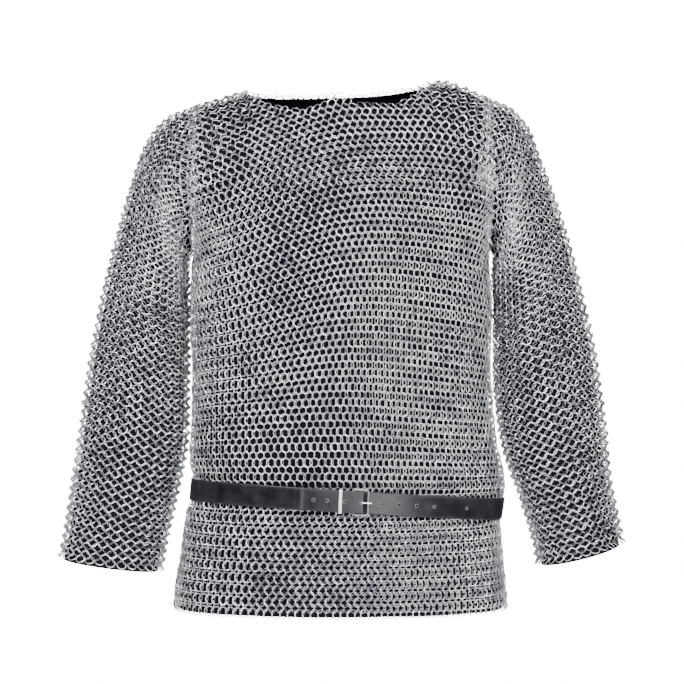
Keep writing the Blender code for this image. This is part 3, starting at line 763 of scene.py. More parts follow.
class PanelRows:
    """Rows and columns of one panel, worked out once and read by rings and sleeves."""

    def __init__(self, net: Net, face: Face) -> None:
        """Number the rows and columns all over the panel.

        Args:
            net: The net's sizes.
            face: Front or back.
        """
        self.net, self.face = net, face
        form = net.form
        self.points, self.normals, self.across = form.panel(face)
        self.turn = self.way_round()
        self.length = run_length(self.points)
        self.level = np.arange(len(self.points))
        chest = form.lower_rows + form.chest_rows - 1
        self.marks = (0, form.lower_rows - 1, chest, self.level[-1])
        self.row_field = self.number_rows()
        self.pitch = np.gradient(self.length, axis=0) / np.gradient(self.row_field, axis=0)
        self.count = math.floor(max(net.ridge_row(side) for side in Side))
        numbers = np.arange(self.count + 1)
        self.height = np.stack([np.interp(numbers, rows, self.level)
                                for rows in self.row_field.T], -1)
        self.columns = self.number_columns(numbers)
        place = np.broadcast_to(np.arange(form.places, dtype=float), self.height.shape)
        self.row_points = read_grid(self.points, self.height, place)

    def way_round(self) -> Array:
        """Length from the middle along the hem's row, -1 and 1 at the side seams."""
        middle = self.across.size // 2
        length = run_length(self.points[0])
        length = length - length[middle]
        return np.where(length < 0, length / -length[0], length / length[-1])

    def level_at(self, way: Array) -> Array:
        """Row of the surface's grid at a way up."""
        return np.interp(way, range(len(self.marks)), self.marks)

    def number_rows(self) -> Array:
        """Row number at every point of the surface.

        Up to the chest it follows the table; over the shoulder it grows with the
        length along the surface, a little faster at first, to the ridge's row or,
        at the neck edge, to what the rows' distance gives.

        Returns:
            Row numbers, levels by places.
        """
        net, form, table = self.net, self.net.form, ROW_LEVELS[self.face]
        names = ("right_edge", "right", "middle", "left", "left_edge")
        knots = np.stack([column(table, name) for name in names])
        knots = smooth_curve(ROW_PLACES, knots, self.turn)
        chest = self.marks[2]
        low = smooth_curve(self.level_at(column(table, "way")), knots.T, self.level[:chest + 1])
        rise = self.length[-1] - self.length[chest]
        from_neck = form.neck_share(form.armhole_x * self.across)
        self.in_neck = np.abs(from_neck) < 1
        ridge = np.where(from_neck < 0, net.ridge_row(Side.RIGHT), net.ridge_row(Side.LEFT))
        free_pitch = rise / (ridge - low[-1])
        outside = np.where(self.in_neck, np.nan, free_pitch)
        corner = np.flatnonzero(self.in_neck)[[0, -1]] + (-1, 1)
        edge_pitch = np.interp(from_neck, [-1, 1], outside[corner])
        inward = 1 - np.abs(from_neck)**net.neck_row_power
        pitch = edge_pitch + (net.neck_row_pitch - edge_pitch) * inward
        last = np.where(self.in_neck, low[-1] + rise / pitch, ridge)
        share = (self.length[chest + 1:] - self.length[chest]) / rise
        share = share + net.crowding * share * (1 - share)
        return np.concatenate([low, low[-1] + (last - low[-1]) * share])

    def number_columns(self, numbers: Array) -> Array:
        """Column number all along every row: a smooth curve through the side edges and
        the table's three places.

        Args:
            numbers: The rows.

        Returns:
            Column numbers, rows by places, counted from the body's middle.
        """
        net, table = self.net, COLUMN_LEVELS[self.face]
        knots = np.stack([column(table, name) for name in ("right", "middle", "left")], -1)
        curves = smooth_curve(self.level_at(column(table, "way")), knots, self.level)
        inner = np.searchsorted(self.turn, COLUMN_PLACES)
        read = [np.interp(self.height[:, place], self.level, curve)
                for place, curve in zip(inner, curves.T)]
        edges = [net.edge_columns(side, numbers) for side in Side]
        return smooth_curve(ROW_PLACES, np.stack([-edges[0], *read, edges[1]]), self.turn).T

    def loop_rows(self, side: Side) -> Array:
        """Armhole points at the rows that go on into a sleeve, from the top down."""
        first = math.ceil(self.net.underarm_row(side))
        last = first + self.net.arm_rows - 1
        edge = -1 if side is Side.LEFT else 0
        return self.row_points[first:last + 1, edge][::-1]

    def rings(self, rows: range) -> RingSet:
        """Place the rings of some rows.

        Args:
            rows: Row numbers.

        Returns:
            The rings, without those that would lie in the neck opening.
        """
        net, made = self.net, RingSet()
        along = np.gradient(self.row_points, axis=1)
        neck_edge = self.points[-1, self.in_neck]
        behind = 0 if self.face is Face.FRONT else 1
        index = np.arange(self.across.size, dtype=float)
        for row in rows:
            parity = (row + behind) % 2
            low, high = self.columns[row, 0], self.columns[row, -1]
            numbers = np.arange(math.ceil(low - parity / 2), high - parity / 2) + parity / 2
            place = np.interp(numbers, self.columns[row], index)
            height = np.interp(place, index, self.height[row])
            normals = unit(read_grid(self.normals, height, place))
            points = read_grid(self.points, height, place) - net.body_depth * normals
            off_edge = np.linalg.norm(points[:, None] - neck_edge, axis=-1).min(axis=-1)
            past_end = row > np.interp(place, index, self.row_field[-1])
            keep = ~past_end & (off_edge > net.neck_clearance)
            if keep.any():
                pitch = read_grid(self.pitch[..., None], height, place)[:, 0]
                direction = read_row(along[row], place)
                poses = net.ring.poses(points, normals, direction, pitch, parity)
                made.add(*(part[keep] for part in poses))
        return made


def read_row(line: Array, place: Array) -> Array:
    """Values of a line of points between its points."""
    i = np.clip(place.astype(int), 0, len(line) - 2)
    t = (place - i)[..., None]
    return (1 - t) * line[i] + t * line[i + 1]


@dataclass
class Sleeve:
    """One sleeve: its surface at the rows that come from the body, and its rings."""
    net: Net
    side: Side
    front: PanelRows
    back: PanelRows
    ease_share: tuple = (0.0, 0.15, 0.85, 1.0)    # shares of the sleeve's columns
    ease_way: tuple = (0.0, 0.135, 0.845, 1.0)    # and how far down the sleeve they lie

    def surface(self) -> tuple[Array, Array]:
        """The sleeve's points and normals: one place round for each row of rings."""
        down, up = self.front.loop_rows(self.side), self.back.loop_rows(self.side)[::-1]
        return self.net.form.sleeve(self.side, np.concatenate([down, up]))

    def rings(self) -> RingSet:
        """Place the rings along every row from the armhole to the cuff."""
        net, sign, made = self.net, self.side.value, RingSet()
        points, normals = self.surface()
        count = points.shape[1]
        length = run_length(points)
        around = (np.roll(points, -1, axis=1) - np.roll(points, 1, axis=1)) / 2
        along = np.gradient(points, axis=0)
        first = math.ceil(net.underarm_row(self.side))
        index = np.arange(points.shape[0], dtype=float)
        end = net.side_columns[self.side] + net.arm_columns[self.side]
        for place in range(count):
            behind = place >= net.arm_rows
            row = first + (place - net.arm_rows if behind else net.arm_rows - 1 - place)
            parity = (row + behind) % 2
            start = float(net.edge_columns(self.side, np.array(row)))
            total = length[-1, place] - net.ring.reach
            offset = (sign * parity / 2) % 1
            numbers = np.arange(math.ceil(start - offset), end - offset) + offset
            share = (numbers - start) / (end - start)
            reach = total * smooth_curve(self.ease_share, self.ease_way, share)
            at = np.interp(reach, length[:, place], index)
            normal = unit(read_row(normals[:, place], at))
            centre = read_row(points[:, place], at) - net.arm_depth * normal
            pitch = np.linalg.norm(read_row(around[:, place], at), axis=-1)
            direction = sign * read_row(along[:, place], at)
            made.add(*net.ring.poses(centre, normal, direction, pitch, parity))
        return made


class Socket:
    """An output of a material's node that can be added to and multiplied."""

    def __init__(self, nodes: "Nodes", value: bpy.types.NodeSocket) -> None:
        """Wrap an output socket."""
        self.nodes, self.value = nodes, value

    def _math(self, operation: str, *values) -> "Socket":
        """Add one Math node."""
        return self.nodes.add("ShaderNodeMath", {"operation": operation}, dict(enumerate(values)))

    def __add__(self, other) -> "Socket":
        """Sum."""
        return self._math("ADD", self, other)

    def __mul__(self, other) -> "Socket":
        """Product."""
        return self._math("MULTIPLY", self, other)

    __radd__ = __add__


class Nodes:
    """A material's nodes, made one after the other."""

    def __init__(self, name: str) -> None:
        """Start a material with its Principled shader."""
        self.material = bpy.data.materials.new(name)
        self.material.use_nodes = True
        self.tree = self.material.node_tree
        self.shader = self.tree.nodes["Principled BSDF"]

    def add(self, kind: str, settings: dict | None = None, inputs: dict | None = None,
            output: int | str = 0) -> Socket:
        """Add a node.

        Args:
            kind: The node's type.
            settings: Its own settings; "stops" are a ramp's places and colours.
            inputs: Values or links of its sockets, by name or number.
            output: The socket that is handed back.

        Returns:
            That socket.
        """
        node = self.tree.nodes.new(kind)
        for name, value in (settings or {}).items():
            if name == "stops":
                ramp = node.color_ramp
                for i, (place, colour) in enumerate(value):
                    stop = ramp.elements[i] if i < 2 else ramp.elements.new(place)
                    stop.position, stop.color = place, (*colour, 1)
            else:
                setattr(node, name, value)
        for name, value in (inputs or {}).items():
            self.plug(node.inputs[name], value)
        return Socket(self, node.outputs[output])

    def plug(self, socket, value) -> None:
        """Set a socket to a value, or link it."""
        if isinstance(value, Socket):
            self.tree.links.new(value.value, socket)
        else:
            socket.default_value = value

    def finish(self, **inputs) -> bpy.types.Material:
        """Set the shader's sockets, named with _ for a space, and hand back the material."""
        for name, value in inputs.items():
            self.plug(self.shader.inputs[name.replace("_", " ")], value)
        return self.material

    def place(self) -> Socket:
        """Object coordinates."""
        return self.add("ShaderNodeTexCoord", output="Object")

    def noise(self, scale: float, detail: float, vector: Socket | None = None) -> Socket:
        """Noise with features of about 1 / scale metres."""
        return self.add("ShaderNodeTexNoise", {}, {"Vector": vector or self.place(),
                                                   "Scale": scale, "Detail": detail})

    def bump(self, height: Socket, distance: float) -> Socket:
        """Relief of a given depth."""
        return self.add("ShaderNodeBump", {}, {"Height": height, "Distance": distance})

    def ramp(self, value: Socket, *stops) -> Socket:
        """Colour that runs through stops."""
        return self.add("ShaderNodeValToRGB", {"stops": stops}, {"Fac": value})

    def mix(self, share, first, second) -> Socket:
        """Colour between two."""
        return self.add("ShaderNodeMix", {"data_type": "RGBA"},
                        {"Factor": share, 6: first, 7: second}, output=2)

    def attribute(self, name: str) -> Socket:
        """A number kept on the mesh."""
        return self.add("ShaderNodeAttribute", {"attribute_name": name}, output="Fac")


@dataclass(frozen=True)
class RingSteel:
    """Zinc-plated steel wire, darkened by painted shade where it lies deep in the net, near the
    dark wall.
    """
    # painted shade: the colour of the wire deep in the net, near the dark wall
    depth_shade: tuple = (0.035, 0.035, 0.042)
    dark: tuple = (0.22, 0.22, 0.26)
    bright: tuple = (0.97, 0.97, 1.0)
    roughness: float = 0.22
    rough_play: float = 0.16
    blotch: tuple = (260.0, 3.0)       # scale and detail of each noise
    wear: tuple = (28.0, 2.0)
    grain: tuple = (1800.0, 2.0)
    grain_depth: float = 0.00006
    shares: tuple = (0.45, 0.35, 0.3)  # of the ring's tone, blotches and wear in its shade
    shade_stops: tuple = (0.2, 0.7)    # shades of the dark and the bright end
    clear_stops: tuple = (0.08, 0.46)  # clearances where the painted shade is deepest and where it ends
    # shares of the steel's own colour against the painted shade, at the wall and well clear of it
    wall_light_share: tuple = (0.20, 0.20, 0.20)
    clear_light_share: tuple = (1.0, 1.0, 1.0)

    def material(self) -> bpy.types.Material:
        """Make the finish."""
        nodes = Nodes("ring_steel")
        tone, clear = nodes.attribute("ring_tone"), nodes.attribute("wall_clear")
        blotch = nodes.noise(*self.blotch)
        worn = nodes.noise(*self.wear)
        shade = tone * self.shares[0] + blotch * self.shares[1] + worn * self.shares[2]
        plated = nodes.ramp(shade, *zip(self.shade_stops, (self.dark, self.bright)))
        # painted shade: the wire darkens towards the dark wall in the net's depth
        light_share = nodes.ramp(clear, *zip(self.clear_stops, (self.wall_light_share, self.clear_light_share)))
        colour = nodes.mix(light_share, (*self.depth_shade, 1), plated)
        return nodes.finish(Base_Color=colour, Metallic=1.0,
                            Roughness=self.roughness + blotch * self.rough_play,
                            Normal=nodes.bump(nodes.noise(*self.grain), self.grain_depth))


@dataclass(frozen=True)
class StrapLeather:
    """Black strap leather: soft gloss, fine grain, cross creases and rubbed edges."""
    colour: tuple = (0.004, 0.004, 0.006)
    rubbed: tuple = (0.030, 0.030, 0.038)
    roughness: float = 0.24
    rough_play: float = 0.24
    specular: float = 0.3
    grain: tuple = (1500.0, 4.0)
    blotch: tuple = (60.0, 3.0)
    crease: tuple = (90.0, 3.0)
    crease_stretch: tuple = (6.0, 1.0, 1.0)
    shares: tuple = (0.6, 0.3, 0.5)          # of blotches, grain and edge wear in the shade
    stops: tuple = (0.35, 1.0)
    relief_shares: tuple = (0.5, 0.6, 0.5)   # of grain, blotches and creases in the relief
    relief_depth: float = 0.00022

    def material(self) -> bpy.types.Material:
        """Make the finish."""
        nodes = Nodes("strap_leather")
        grain = nodes.noise(*self.grain)
        blotch = nodes.noise(*self.blotch)
        stretched = nodes.add("ShaderNodeMapping", {},
                              {"Vector": nodes.place(), "Scale": self.crease_stretch})
        creases = nodes.noise(*self.crease, stretched)
        worn = nodes.attribute("edge_wear")
        shade = blotch * self.shares[0] + grain * self.shares[1] + worn * self.shares[2]
        colour = nodes.ramp(shade, *zip(self.stops, (self.colour, self.rubbed)))
        deep = self.relief_shares
        relief = grain * deep[0] + blotch * deep[1] + creases * deep[2]
        return nodes.finish(Base_Color=colour,
                            Roughness=self.roughness + blotch * self.rough_play,
                            Specular_IOR_Level=self.specular,
                            Normal=nodes.bump(relief, self.relief_depth))


@dataclass(frozen=True)
class Grained:
    """A finish of one noise, that runs between two colours and plays in the roughness."""
    name: str
    colours: tuple
    stops: tuple               # the noise's values at the two colours
    noise: tuple               # its scale and detail
    roughness: float
    rough_play: float
    depth: float = 0.0         # of its relief
    sockets: dict = field(default_factory=dict)

    def material(self) -> bpy.types.Material:
        """Make the finish."""
        nodes = Nodes(self.name)
        grain = nodes.noise(*self.noise)
        inputs = dict(self.sockets)
        if self.depth:
            inputs["Normal"] = nodes.bump(grain, self.depth)
        return nodes.finish(Base_Color=nodes.ramp(grain, *zip(self.stops, self.colours)),
                            Roughness=self.roughness + grain * self.rough_play, **inputs)


# painted shade: a near-black wall in the net's depth, for the shade between the rings and the dark
# cloth beneath them; it lets only the rings shine
NET_SHADE = Grained(
    "net_shade", ((0.004, 0.004, 0.006), (0.010, 0.010, 0.015)), (0.3, 0.7), (900.0, 2.0),
    roughness=0.9, rough_play=0.05, sockets={"Metallic": 0.0, "Specular_IOR_Level": 0.0})
# the pressed lip of a strap hole, paler than the strap: painted highlight for the light its
# burnished edge catches
RIM_LEATHER = Grained(
    "hole_rim_leather", ((0.02, 0.02, 0.03), (0.30, 0.30, 0.36)), (0.4, 0.65), (800.0, 3.0),
    roughness=0.25, rough_play=0.2, depth=0.0001)
# lightly scratched plating of the buckle
NICKEL = Grained(
    "buckle_nickel", ((0.55, 0.55, 0.56), (0.88, 0.87, 0.86)), (0.3, 0.6), (700.0, 4.0),
    roughness=0.22, rough_play=0.18, depth=0.00004, sockets={"Metallic": 1.0})
# the pale, even floor
FLOOR_PAINT = Grained(
    "studio_floor", ((0.91, 0.91, 0.92), (0.93, 0.93, 0.94)), (0.3, 0.7), (3.0, 2.0),
    roughness=0.8, rough_play=0.05)


class Cut(NamedTuple):
    """Flat size of a sheet of mail before it is worn, and its area."""
    width: float
    length: float
    area: float


@dataclass
class MailShirt:
    """The whole shirt: rings of both panels and sleeves, on their dark walls."""
    net: Net
    wall_depth: float = 0.0064
    arm_wall_depth: float = 0.0072
    end_trim: float = 0.0026       # the dark wall ends short of the hem and cuffs
    neck_trim: float = 0.0062      # and of the neck
    panel_wall: tuple = (73, 81)   # rows and places of a panel's dark wall
    sleeve_wall_rows: int = 58
    panel_seed_step: int = 10      # seeds of the rings' play: 0 and 1 before, 10 and 11 behind
    sleeve_seed: int = 40          # and 40 and 41 on the sleeves
    panel_cut: Cut = Cut(0.56, 0.72, 0.34)
    sleeve_cut: Cut = Cut(0.53, 0.50, 0.20)

    def build(self) -> None:
        """Make every piece of the shirt."""
        steel, shade = RingSteel().material(), NET_SHADE.material()
        rows = {face: PanelRows(self.net, face) for face in Face}
        for number, panel in enumerate(rows.values()):
            self.panel(panel, self.panel_seed_step * number, steel, shade)
        for number, side in enumerate(Side):
            sleeve = Sleeve(self.net, side, rows[Face.FRONT], rows[Face.BACK])
            self.sleeve(sleeve, self.sleeve_seed + number, steel, shade)

    def panel(self, panel: PanelRows, seed: int, steel: bpy.types.Material,
              shade: bpy.types.Material) -> None:
        """Make a panel's rings, in two pieces, and its dark wall.

        Args:
            panel: The panel's rows and columns.
            seed: Start of the play of the lower piece; the upper one takes the next.
            steel: The rings' finish.
            shade: The wall's finish.
        """
        name, net, rings = panel.face.name.lower(), self.net, []
        parts = {"lower": range(0, net.split_row), "upper": range(net.split_row, panel.count + 1)}
        for place, (part, numbers) in enumerate(parts.items()):
            thing = net.ring.mesh(f"{name}_rings_{part}", panel.rings(numbers),
                                  self.wall_depth - net.body_depth, seed + place)
            rings.append(dress(thing, steel, f"mail_{name}"))
        end = np.where(panel.in_neck, self.neck_trim, 0)
        wall = self.wall(f"{name}_wall", (panel.points, panel.normals), end, self.panel_wall, False)
        dress(wall, shade, f"mail_{name}")

    def sleeve(self, sleeve: Sleeve, seed: int, steel: bpy.types.Material,
               shade: bpy.types.Material) -> None:
        """Make a sleeve's rings and its dark wall.

        Args:
            sleeve: The sleeve.
            seed: Start of the rings' play.
            steel: The rings' finish.
            shade: The wall's finish.
        """
        name, net, surface = sleeve.side.name.lower(), self.net, sleeve.surface()
        rings = net.ring.mesh(f"sleeve_rings_{name}", sleeve.rings(),
                              self.arm_wall_depth - net.arm_depth, seed)
        dress(rings, steel, f"sleeve_{name}")
        places = surface[0].shape[1]
        wall = self.wall(f"sleeve_wall_{name}", surface, np.full(places, self.end_trim),
                         (self.sleeve_wall_rows, places), True)
        dress(wall, shade, f"sleeve_{name}")

    def wall(self, name: str, surface: tuple[Array, Array], end_trim: Array,
             size: tuple[int, int], closed: bool) -> bpy.types.Object:
        """Make the thin dark wall of painted shade in the rings' depth.

        Every place's line is walked by length, from the trimmed start to its end, and
        moved in along the normals.

        Args:
            name: The piece's name.
            surface: Outer points and normals, rows by places.
            end_trim: How far short of the last row it ends at each place.
            size: Rows and places of the new wall.
            closed: Whether the places run round a loop, and the first row stays.

        Returns:
            The new object.
        """
        points, normals = surface
        length = run_length(points)
        places = np.linspace(0, points.shape[1] - 1, size[1])
        start = 0.0 if closed else self.end_trim
        rows = np.arange(len(points), dtype=float)
        level = np.stack([
            np.interp(np.linspace(start, length[-1, i] - end_trim[i], size[0]), length[:, i],
                      rows)
            for i in places.astype(int)], -1)
        place = np.broadcast_to(places, level.shape)
        depth = self.arm_wall_depth if closed else self.wall_depth
        moved = read_grid(points, level, place) - depth * read_grid(normals, level, place)
        return mesh_object(name, moved.reshape(-1, 3), grid_quads(*size, closed))


@dataclass
class Belt:
    """The leather strap: from the buckle round the body and over itself to its tail."""
    form: ShirtForm
    width: float = 0.028
    thick: float = 0.0026
    lift: float = 0.0004             # clearance from the mail
    buckle_lift: float = 0.0014      # the same behind the buckle
    buckle_reach: float = 0.42       # how far that goes round the body, radians
    seam_gap: float = 0.0003
    keeper_x: float = 0.0
    strap_start_x: float = 0.0130    # just past the heel bar, under the tail
    front_bar_x: float = 0.0348
    climb_x: tuple = (0.0334, 0.0282)
    prong_hole_x: float = 0.0262
    tail_end_x: float = -0.0597
    tail_holes_x: tuple = (-0.0336, -0.0162, 0.0050)
    strap_holes_x: tuple = (0.0522, 0.0733, 0.0957, 0.1180, 0.1600)
    hole_radius: float = 0.0017
    rim_radii: tuple = (0.0020, 0.00035)
    edge_radius: float = 0.0010
    crown: float = 0.00018           # the strap is a little thicker in the middle
    crest_x: float = -0.0515         # the tail's end curls up here
    crest_height: float = 0.0010
    crest_half: float = 0.0035
    steps: tuple = (36, 44, 30, 14, 30)
    corner_steps: int = 5
    flat_places: tuple = (-0.75, -0.3, 0.3, 0.75)
    punch_sides: int = 16
    rim_steps: tuple = (20, 8)
    angle_step: float = 1e-3         # for the strap's direction
    wear_power: int = 12
    sharp_angle: float = math.radians(50)

    def body_point(self, angle: Array, height: Array) -> Array:
        """Point of the mail at an angle round the body and a height over the belt's line.

        The angle is 0 in front and grows towards the wearer's left; the point lies on
        the squared-off oval of its level.
        """
        form = self.form
        front = np.where(np.cos(angle) >= 0, 1.0, -1.0)
        share = np.sign(np.sin(angle)) * np.abs(np.sin(angle))**(2 / form.section_power)
        x = WAIST.middle_x + WAIST.half_width * share
        z = form.belt_height(x, front) + height
        for _ in range(2):
            x = form.size("middle_x", z) + form.size("half_width", z) * share
            z = form.belt_height(x, front) + height
        depth = np.where(front > 0, form.size("front", z), form.size("back", z))
        return np.stack([x, -front * depth * oval(share, form.section_power), z], -1)

    def edges(self, angle: Array) -> tuple[Array, Array, Array]:
        """Lower and upper edge points of the strap on the mail, and the outward normals."""
        low, high = (self.body_point(angle, side * self.width / 2) for side in (-1, 1))
        ahead = (self.body_point(angle + self.angle_step, 0.0)
                 - self.body_point(angle - self.angle_step, 0.0))
        normal = unit(np.cross(ahead, high - low))
        front = np.sign(-low[:, 1])
        edge = self.form.belt_height(low[:, 0], front) + self.width / 2
        dip = self.form.relief(low[:, 0], edge, front, ())[:, None]
        return low + dip * normal, high + dip * normal, normal

    def angle_at(self, x: Array) -> Array:
        """Angle round the front of the body at which the belt crosses x."""
        share = self.form.waist_share(x)
        return np.arcsin(np.sign(share) * np.abs(share)**(self.form.section_power / 2))

    def strap_lift(self, angle: Array, on_top: Array) -> Array:
        """Clearance of the strap from the mail; on top it climbs over the strap's start."""
        near = bell((angle - self.angle_at(self.keeper_x)) / self.buckle_reach, FLAT_TOP)
        lift = self.lift + (self.buckle_lift - self.lift) * near
        climb_from, climb_to = (self.angle_at(x) for x in self.climb_x)
        climb = np.clip((climb_from - angle) / (climb_from - climb_to), 0, 1)
        climb = climb * climb * (3 - 2 * climb)
        return lift + on_top * climb * (self.thick + self.seam_gap)

    def profile(self) -> tuple[Array, Array]:
        """Cross-section: height over the middle and level, with round edges and a crown."""
        half, radius = self.width / 2 - self.edge_radius, self.edge_radius
        turn = np.linspace(0, math.pi / 2, self.corner_steps)
        flat = np.array(self.flat_places) * half
        corners = ((half, self.thick - radius, 0), (-half, self.thick - radius, 1),
                   (-half, radius, 2), (half, radius, 3))
        height, level = [], []
        for x, z, quarter in corners:
            angle = turn + quarter * math.pi / 2
            height.append(x + radius * np.cos(angle))
            level.append(z + radius * np.sin(angle))
            if quarter % 2 == 0:
                height.append(flat[::-1] if quarter == 0 else flat)
                level.append(np.full(flat.size, self.thick if quarter == 0 else 0.0))
        height, level = np.concatenate(height), np.concatenate(level)
        top = level > self.thick / 2
        return height, level + top * self.crown * (1 - (height / (self.width / 2))**2)

    def strap(self) -> bpy.types.Object:
        """Carry the profile along the strap's run and close both ends."""
        climb_end = self.angle_at(self.prong_hole_x)
        stops = ((self.angle_at(self.strap_start_x), -math.pi / 2),
                 (-math.pi / 2, -1.5 * math.pi),
                 (math.pi / 2, self.angle_at(self.front_bar_x)),
                 (self.angle_at(self.front_bar_x), climb_end),
                 (climb_end, self.angle_at(self.tail_end_x)))
        runs = [np.linspace(first, last, count)[int(number > 0):]
                for number, ((first, last), count) in enumerate(zip(stops, self.steps))]
        angle = np.concatenate(runs)
        on_top = np.repeat([0.0, 0.0, 0.0, 1.0, 1.0], [len(run) for run in runs])
        wrapped = np.where(angle < -math.pi, angle + 2 * math.pi, angle)
        low, high, normal = self.edges(wrapped)
        crest = bell((low[:, 0] - self.crest_x) / self.crest_half)
        lift = self.strap_lift(wrapped, on_top) + self.crest_height * crest * (on_top > 0)
        height, level = self.profile()
        share = (height / self.width + 0.5)[:, None]
        points = (low[:, None] * (1 - share) + high[:, None] * share
                  + (lift[:, None] + level)[..., None] * normal[:, None])
        rows, places = points.shape[:2]
        faces = grid_quads(rows, places, True)[:, ::-1].tolist()
        faces += [list(range(places)), list(range(rows * places - 1, (rows - 1) * places - 1, -1))]
        mesh = bpy.data.meshes.new("strap")
        mesh.from_pydata(points.reshape(-1, 3).tolist(), [], faces)
        return link_object("strap", mesh)

    def holes(self) -> tuple[Array, Array, Array]:
        """Where the holes are: feet, heads over the strap's face, and outward normals."""
        x = np.array((*self.tail_holes_x, self.prong_hole_x, *self.strap_holes_x))
        on_top = (np.arange(len(x)) <= len(self.tail_holes_x)).astype(float)
        angle = self.angle_at(x)
        low, high, normal = self.edges(angle)
        layer = self.buckle_lift + self.thick + self.seam_gap
        foot = np.where(on_top > 0, layer, self.strap_lift(angle, 0 * angle))[:, None]
        middle = (low + high) / 2
        return (middle + (foot - self.seam_gap / 2) * normal,
                middle + (foot + self.thick + self.crown) * normal, normal)

    def punch(self, strap: bpy.types.Object) -> None:
        """Cut the holes with round bars that stand through their layer."""
        foot, head, normal = self.holes()
        sides = self.punch_sides
        around = unit(np.cross(normal, np.array([0.0, 0.0, 1.0])))
        up = np.cross(normal, around)
        a = 2 * math.pi * np.arange(sides) / sides
        circle = (np.cos(a)[:, None] * around[:, None] + np.sin(a)[:, None] * up[:, None])
        ends = np.stack([foot, head + self.thick * normal], 1)
        points = (ends[:, :, None] + self.hole_radius * circle[:, None]).reshape(-1, 3)
        faces = []
        for start in range(0, len(points), 2 * sides):
            ring = [start + i for i in range(sides)]
            faces += [[i, start + (i - start + 1) % sides, start + sides + (i - start + 1) % sides,
                       i + sides] for i in ring]
            faces += [ring[::-1], [i + sides for i in ring]]
        mesh = bpy.data.meshes.new("punch")
        mesh.from_pydata(points.tolist(), [], faces)
        edit = bmesh.new()
        edit.from_mesh(mesh)
        bmesh.ops.recalc_face_normals(edit, faces=edit.faces)
        edit.to_mesh(mesh)
        edit.free()
        punch = link_object("punch", mesh)
        cut = strap.modifiers.new("punch", "BOOLEAN")
        cut.operation, cut.solver, cut.object = "DIFFERENCE", "EXACT", punch
        shape = strap.evaluated_get(bpy.context.evaluated_depsgraph_get())
        strap.data = bpy.data.meshes.new_from_object(shape)
        strap.modifiers.clear()
        bpy.data.objects.remove(punch)

    def edge_wear(self, strap: bpy.types.Object) -> None:
        """Note how near each point is to the strap's long edges, for the rubbed leather."""
        points = np.empty(3 * len(strap.data.vertices), np.float32)
        strap.data.vertices.foreach_get("co", points)
        x, y, z = points.reshape(-1, 3).T
        above = np.abs(z - self.form.belt_height(x, np.sign(-y)))
        near_edge = np.clip(above / (self.width / 2), 0, 1)
        add_value(strap, "edge_wear", near_edge**self.wear_power)

    def build(self) -> None:
        """Make the strap and its hole rims, and finish the buckle and the keeper."""
        strap = self.strap()
        self.punch(strap)
        strap.data.name = strap.name
        strap.data.shade_smooth()
        strap.data.set_sharp_from_angle(angle=self.sharp_angle)
        self.edge_wear(strap)
        dress(strap, StrapLeather().material(), "belt_strap")
        _, head, normal = self.holes()
        along = np.broadcast_to(np.array([0.0, 0.0, 1.0]), normal.shape)
        points, quads = torus_mesh(head, normal, along, self.rim_radii, self.rim_steps,
                                   np.zeros(len(head)))
        rims = mesh_object("hole_rims", points.reshape(-1, 3), quads)
        dress(rims, RIM_LEATHER.material(), "belt_strap")
        nickel = NICKEL.material()
        for name in ("buckle_frame", "buckle_prong", "belt_keeper"):
            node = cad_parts[name]
            node.data.materials.clear()
            node.data.materials.append(nickel)


class SoftBox(NamedTuple):
    """A soft light: its place, width, height and power."""
    name: str
    place: tuple
    width: float
    height: float
    power: float


SOFT_BOXES = table(
    SoftBox,
    ("key", (-1.3, -2.3, 1.8), 0.9, 0.8, 190.0),
    ("fill", (1.7, -2.3, 1.5), 0.7, 0.8, 100.0),
    ("top", (0.0, -0.6, 2.0), 2.0, 1.2, 16.0),
    ("strip", (0.65, -2.9, -0.5), 0.16, 1.4, 75.0),
    ("rear_right", (-2.2, 1.0, 0.2), 1.0, 2.0, 5.0),
    ("rear_left", (2.2, 1.0, 0.2), 1.0, 2.0, 5.0),
)


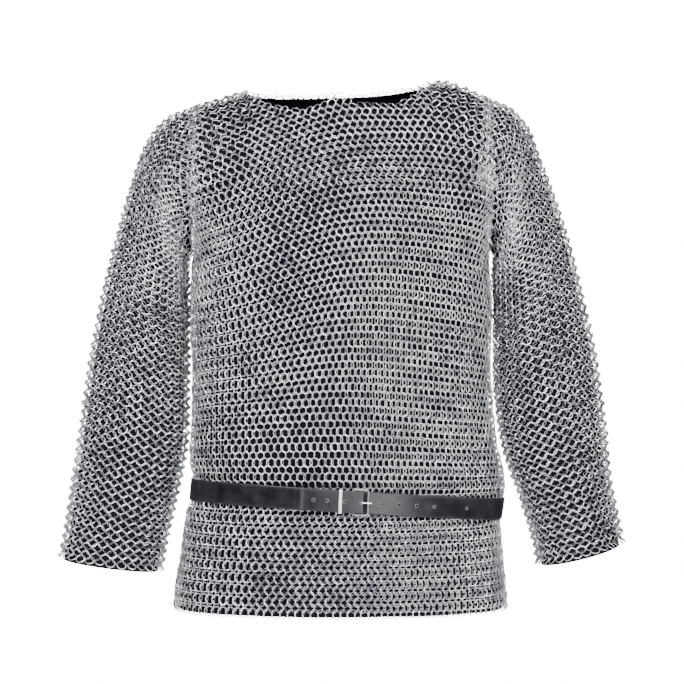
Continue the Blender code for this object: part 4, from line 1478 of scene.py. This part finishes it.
@dataclass
class Studio:
    """Pale floor, white surroundings, soft lights, and the camera at the photo's place."""
    distance: float = 3.2
    height: float = -0.325
    frame_width: float = 0.8892
    camera_x: float = 0.0013
    sensor: float = 36.0
    floor_z: float = -1.7
    aim: tuple = (0.0, 0.0, -0.3)
    sky: tuple = (0.93, 0.94, 1.0)
    sky_strength: float = 0.05
    backdrop: tuple = (1.0, 1.0, 1.0)
    backdrop_strength: float = 16.0
    floor_reach: float = 6.0

    def build(self) -> None:
        """Make the stage."""
        camera = bpy.data.cameras.new("camera")
        camera.lens = self.sensor * self.distance / self.frame_width
        camera.sensor_width = self.sensor
        holder = link_object("camera", camera)
        holder.location = (self.camera_x, -self.distance, self.height)
        holder.rotation_euler = (math.pi / 2, 0, 0)
        bpy.context.scene.camera = holder
        self.floor()
        self.lights()
        self.surroundings()

    def floor(self) -> None:
        """Plain pale floor, below what the camera sees of it at the photo's place."""
        corners = [(x, y, self.floor_z) for y in (-self.floor_reach, self.floor_reach)
                   for x in (-self.floor_reach, self.floor_reach)]
        sheet = mesh_object("studio_floor", np.array(corners), grid_quads(2, 2, False))
        sheet.data.materials.append(FLOOR_PAINT.material())

    def lights(self) -> None:
        """Soft boxes turned to the shirt."""
        for box in SOFT_BOXES:
            light = bpy.data.lights.new(box.name, "AREA")
            light.shape, light.size, light.size_y = "RECTANGLE", box.width, box.height
            light.energy = box.power
            holder = link_object(box.name, light)
            holder.location = box.place
            look = Vector(self.aim) - Vector(box.place)
            holder.rotation_euler = look.to_track_quat("-Z", "Y").to_euler()

    def surroundings(self) -> None:
        """A dim even sky that lights the shirt, behind which every view sees white."""
        world = bpy.data.worlds.new("studio_sky")
        world.use_nodes = True
        tree = world.node_tree
        sky, backdrop = tree.nodes["Background"], tree.nodes.new("ShaderNodeBackground")
        for node, colour, strength in ((sky, self.sky, self.sky_strength),
                                       (backdrop, self.backdrop, self.backdrop_strength)):
            node.inputs["Color"].default_value = (*colour, 1)
            node.inputs["Strength"].default_value = strength
        ray, mix = tree.nodes.new("ShaderNodeLightPath"), tree.nodes.new("ShaderNodeMixShader")
        tree.links.new(ray.outputs["Is Camera Ray"], mix.inputs[0])
        tree.links.new(sky.outputs[0], mix.inputs[1])
        tree.links.new(backdrop.outputs[0], mix.inputs[2])
        tree.links.new(mix.outputs[0], tree.nodes["World Output"].inputs["Surface"])
        bpy.context.scene.world = world


def main() -> None:
    """Build everything."""
    logging.basicConfig(level=logging.INFO, format="%(name)s: %(message)s")
    form = ShirtForm()
    Studio().build()
    MailShirt(Net(form)).build()
    Belt(form).build()


if __name__ == "__main__":
    main()
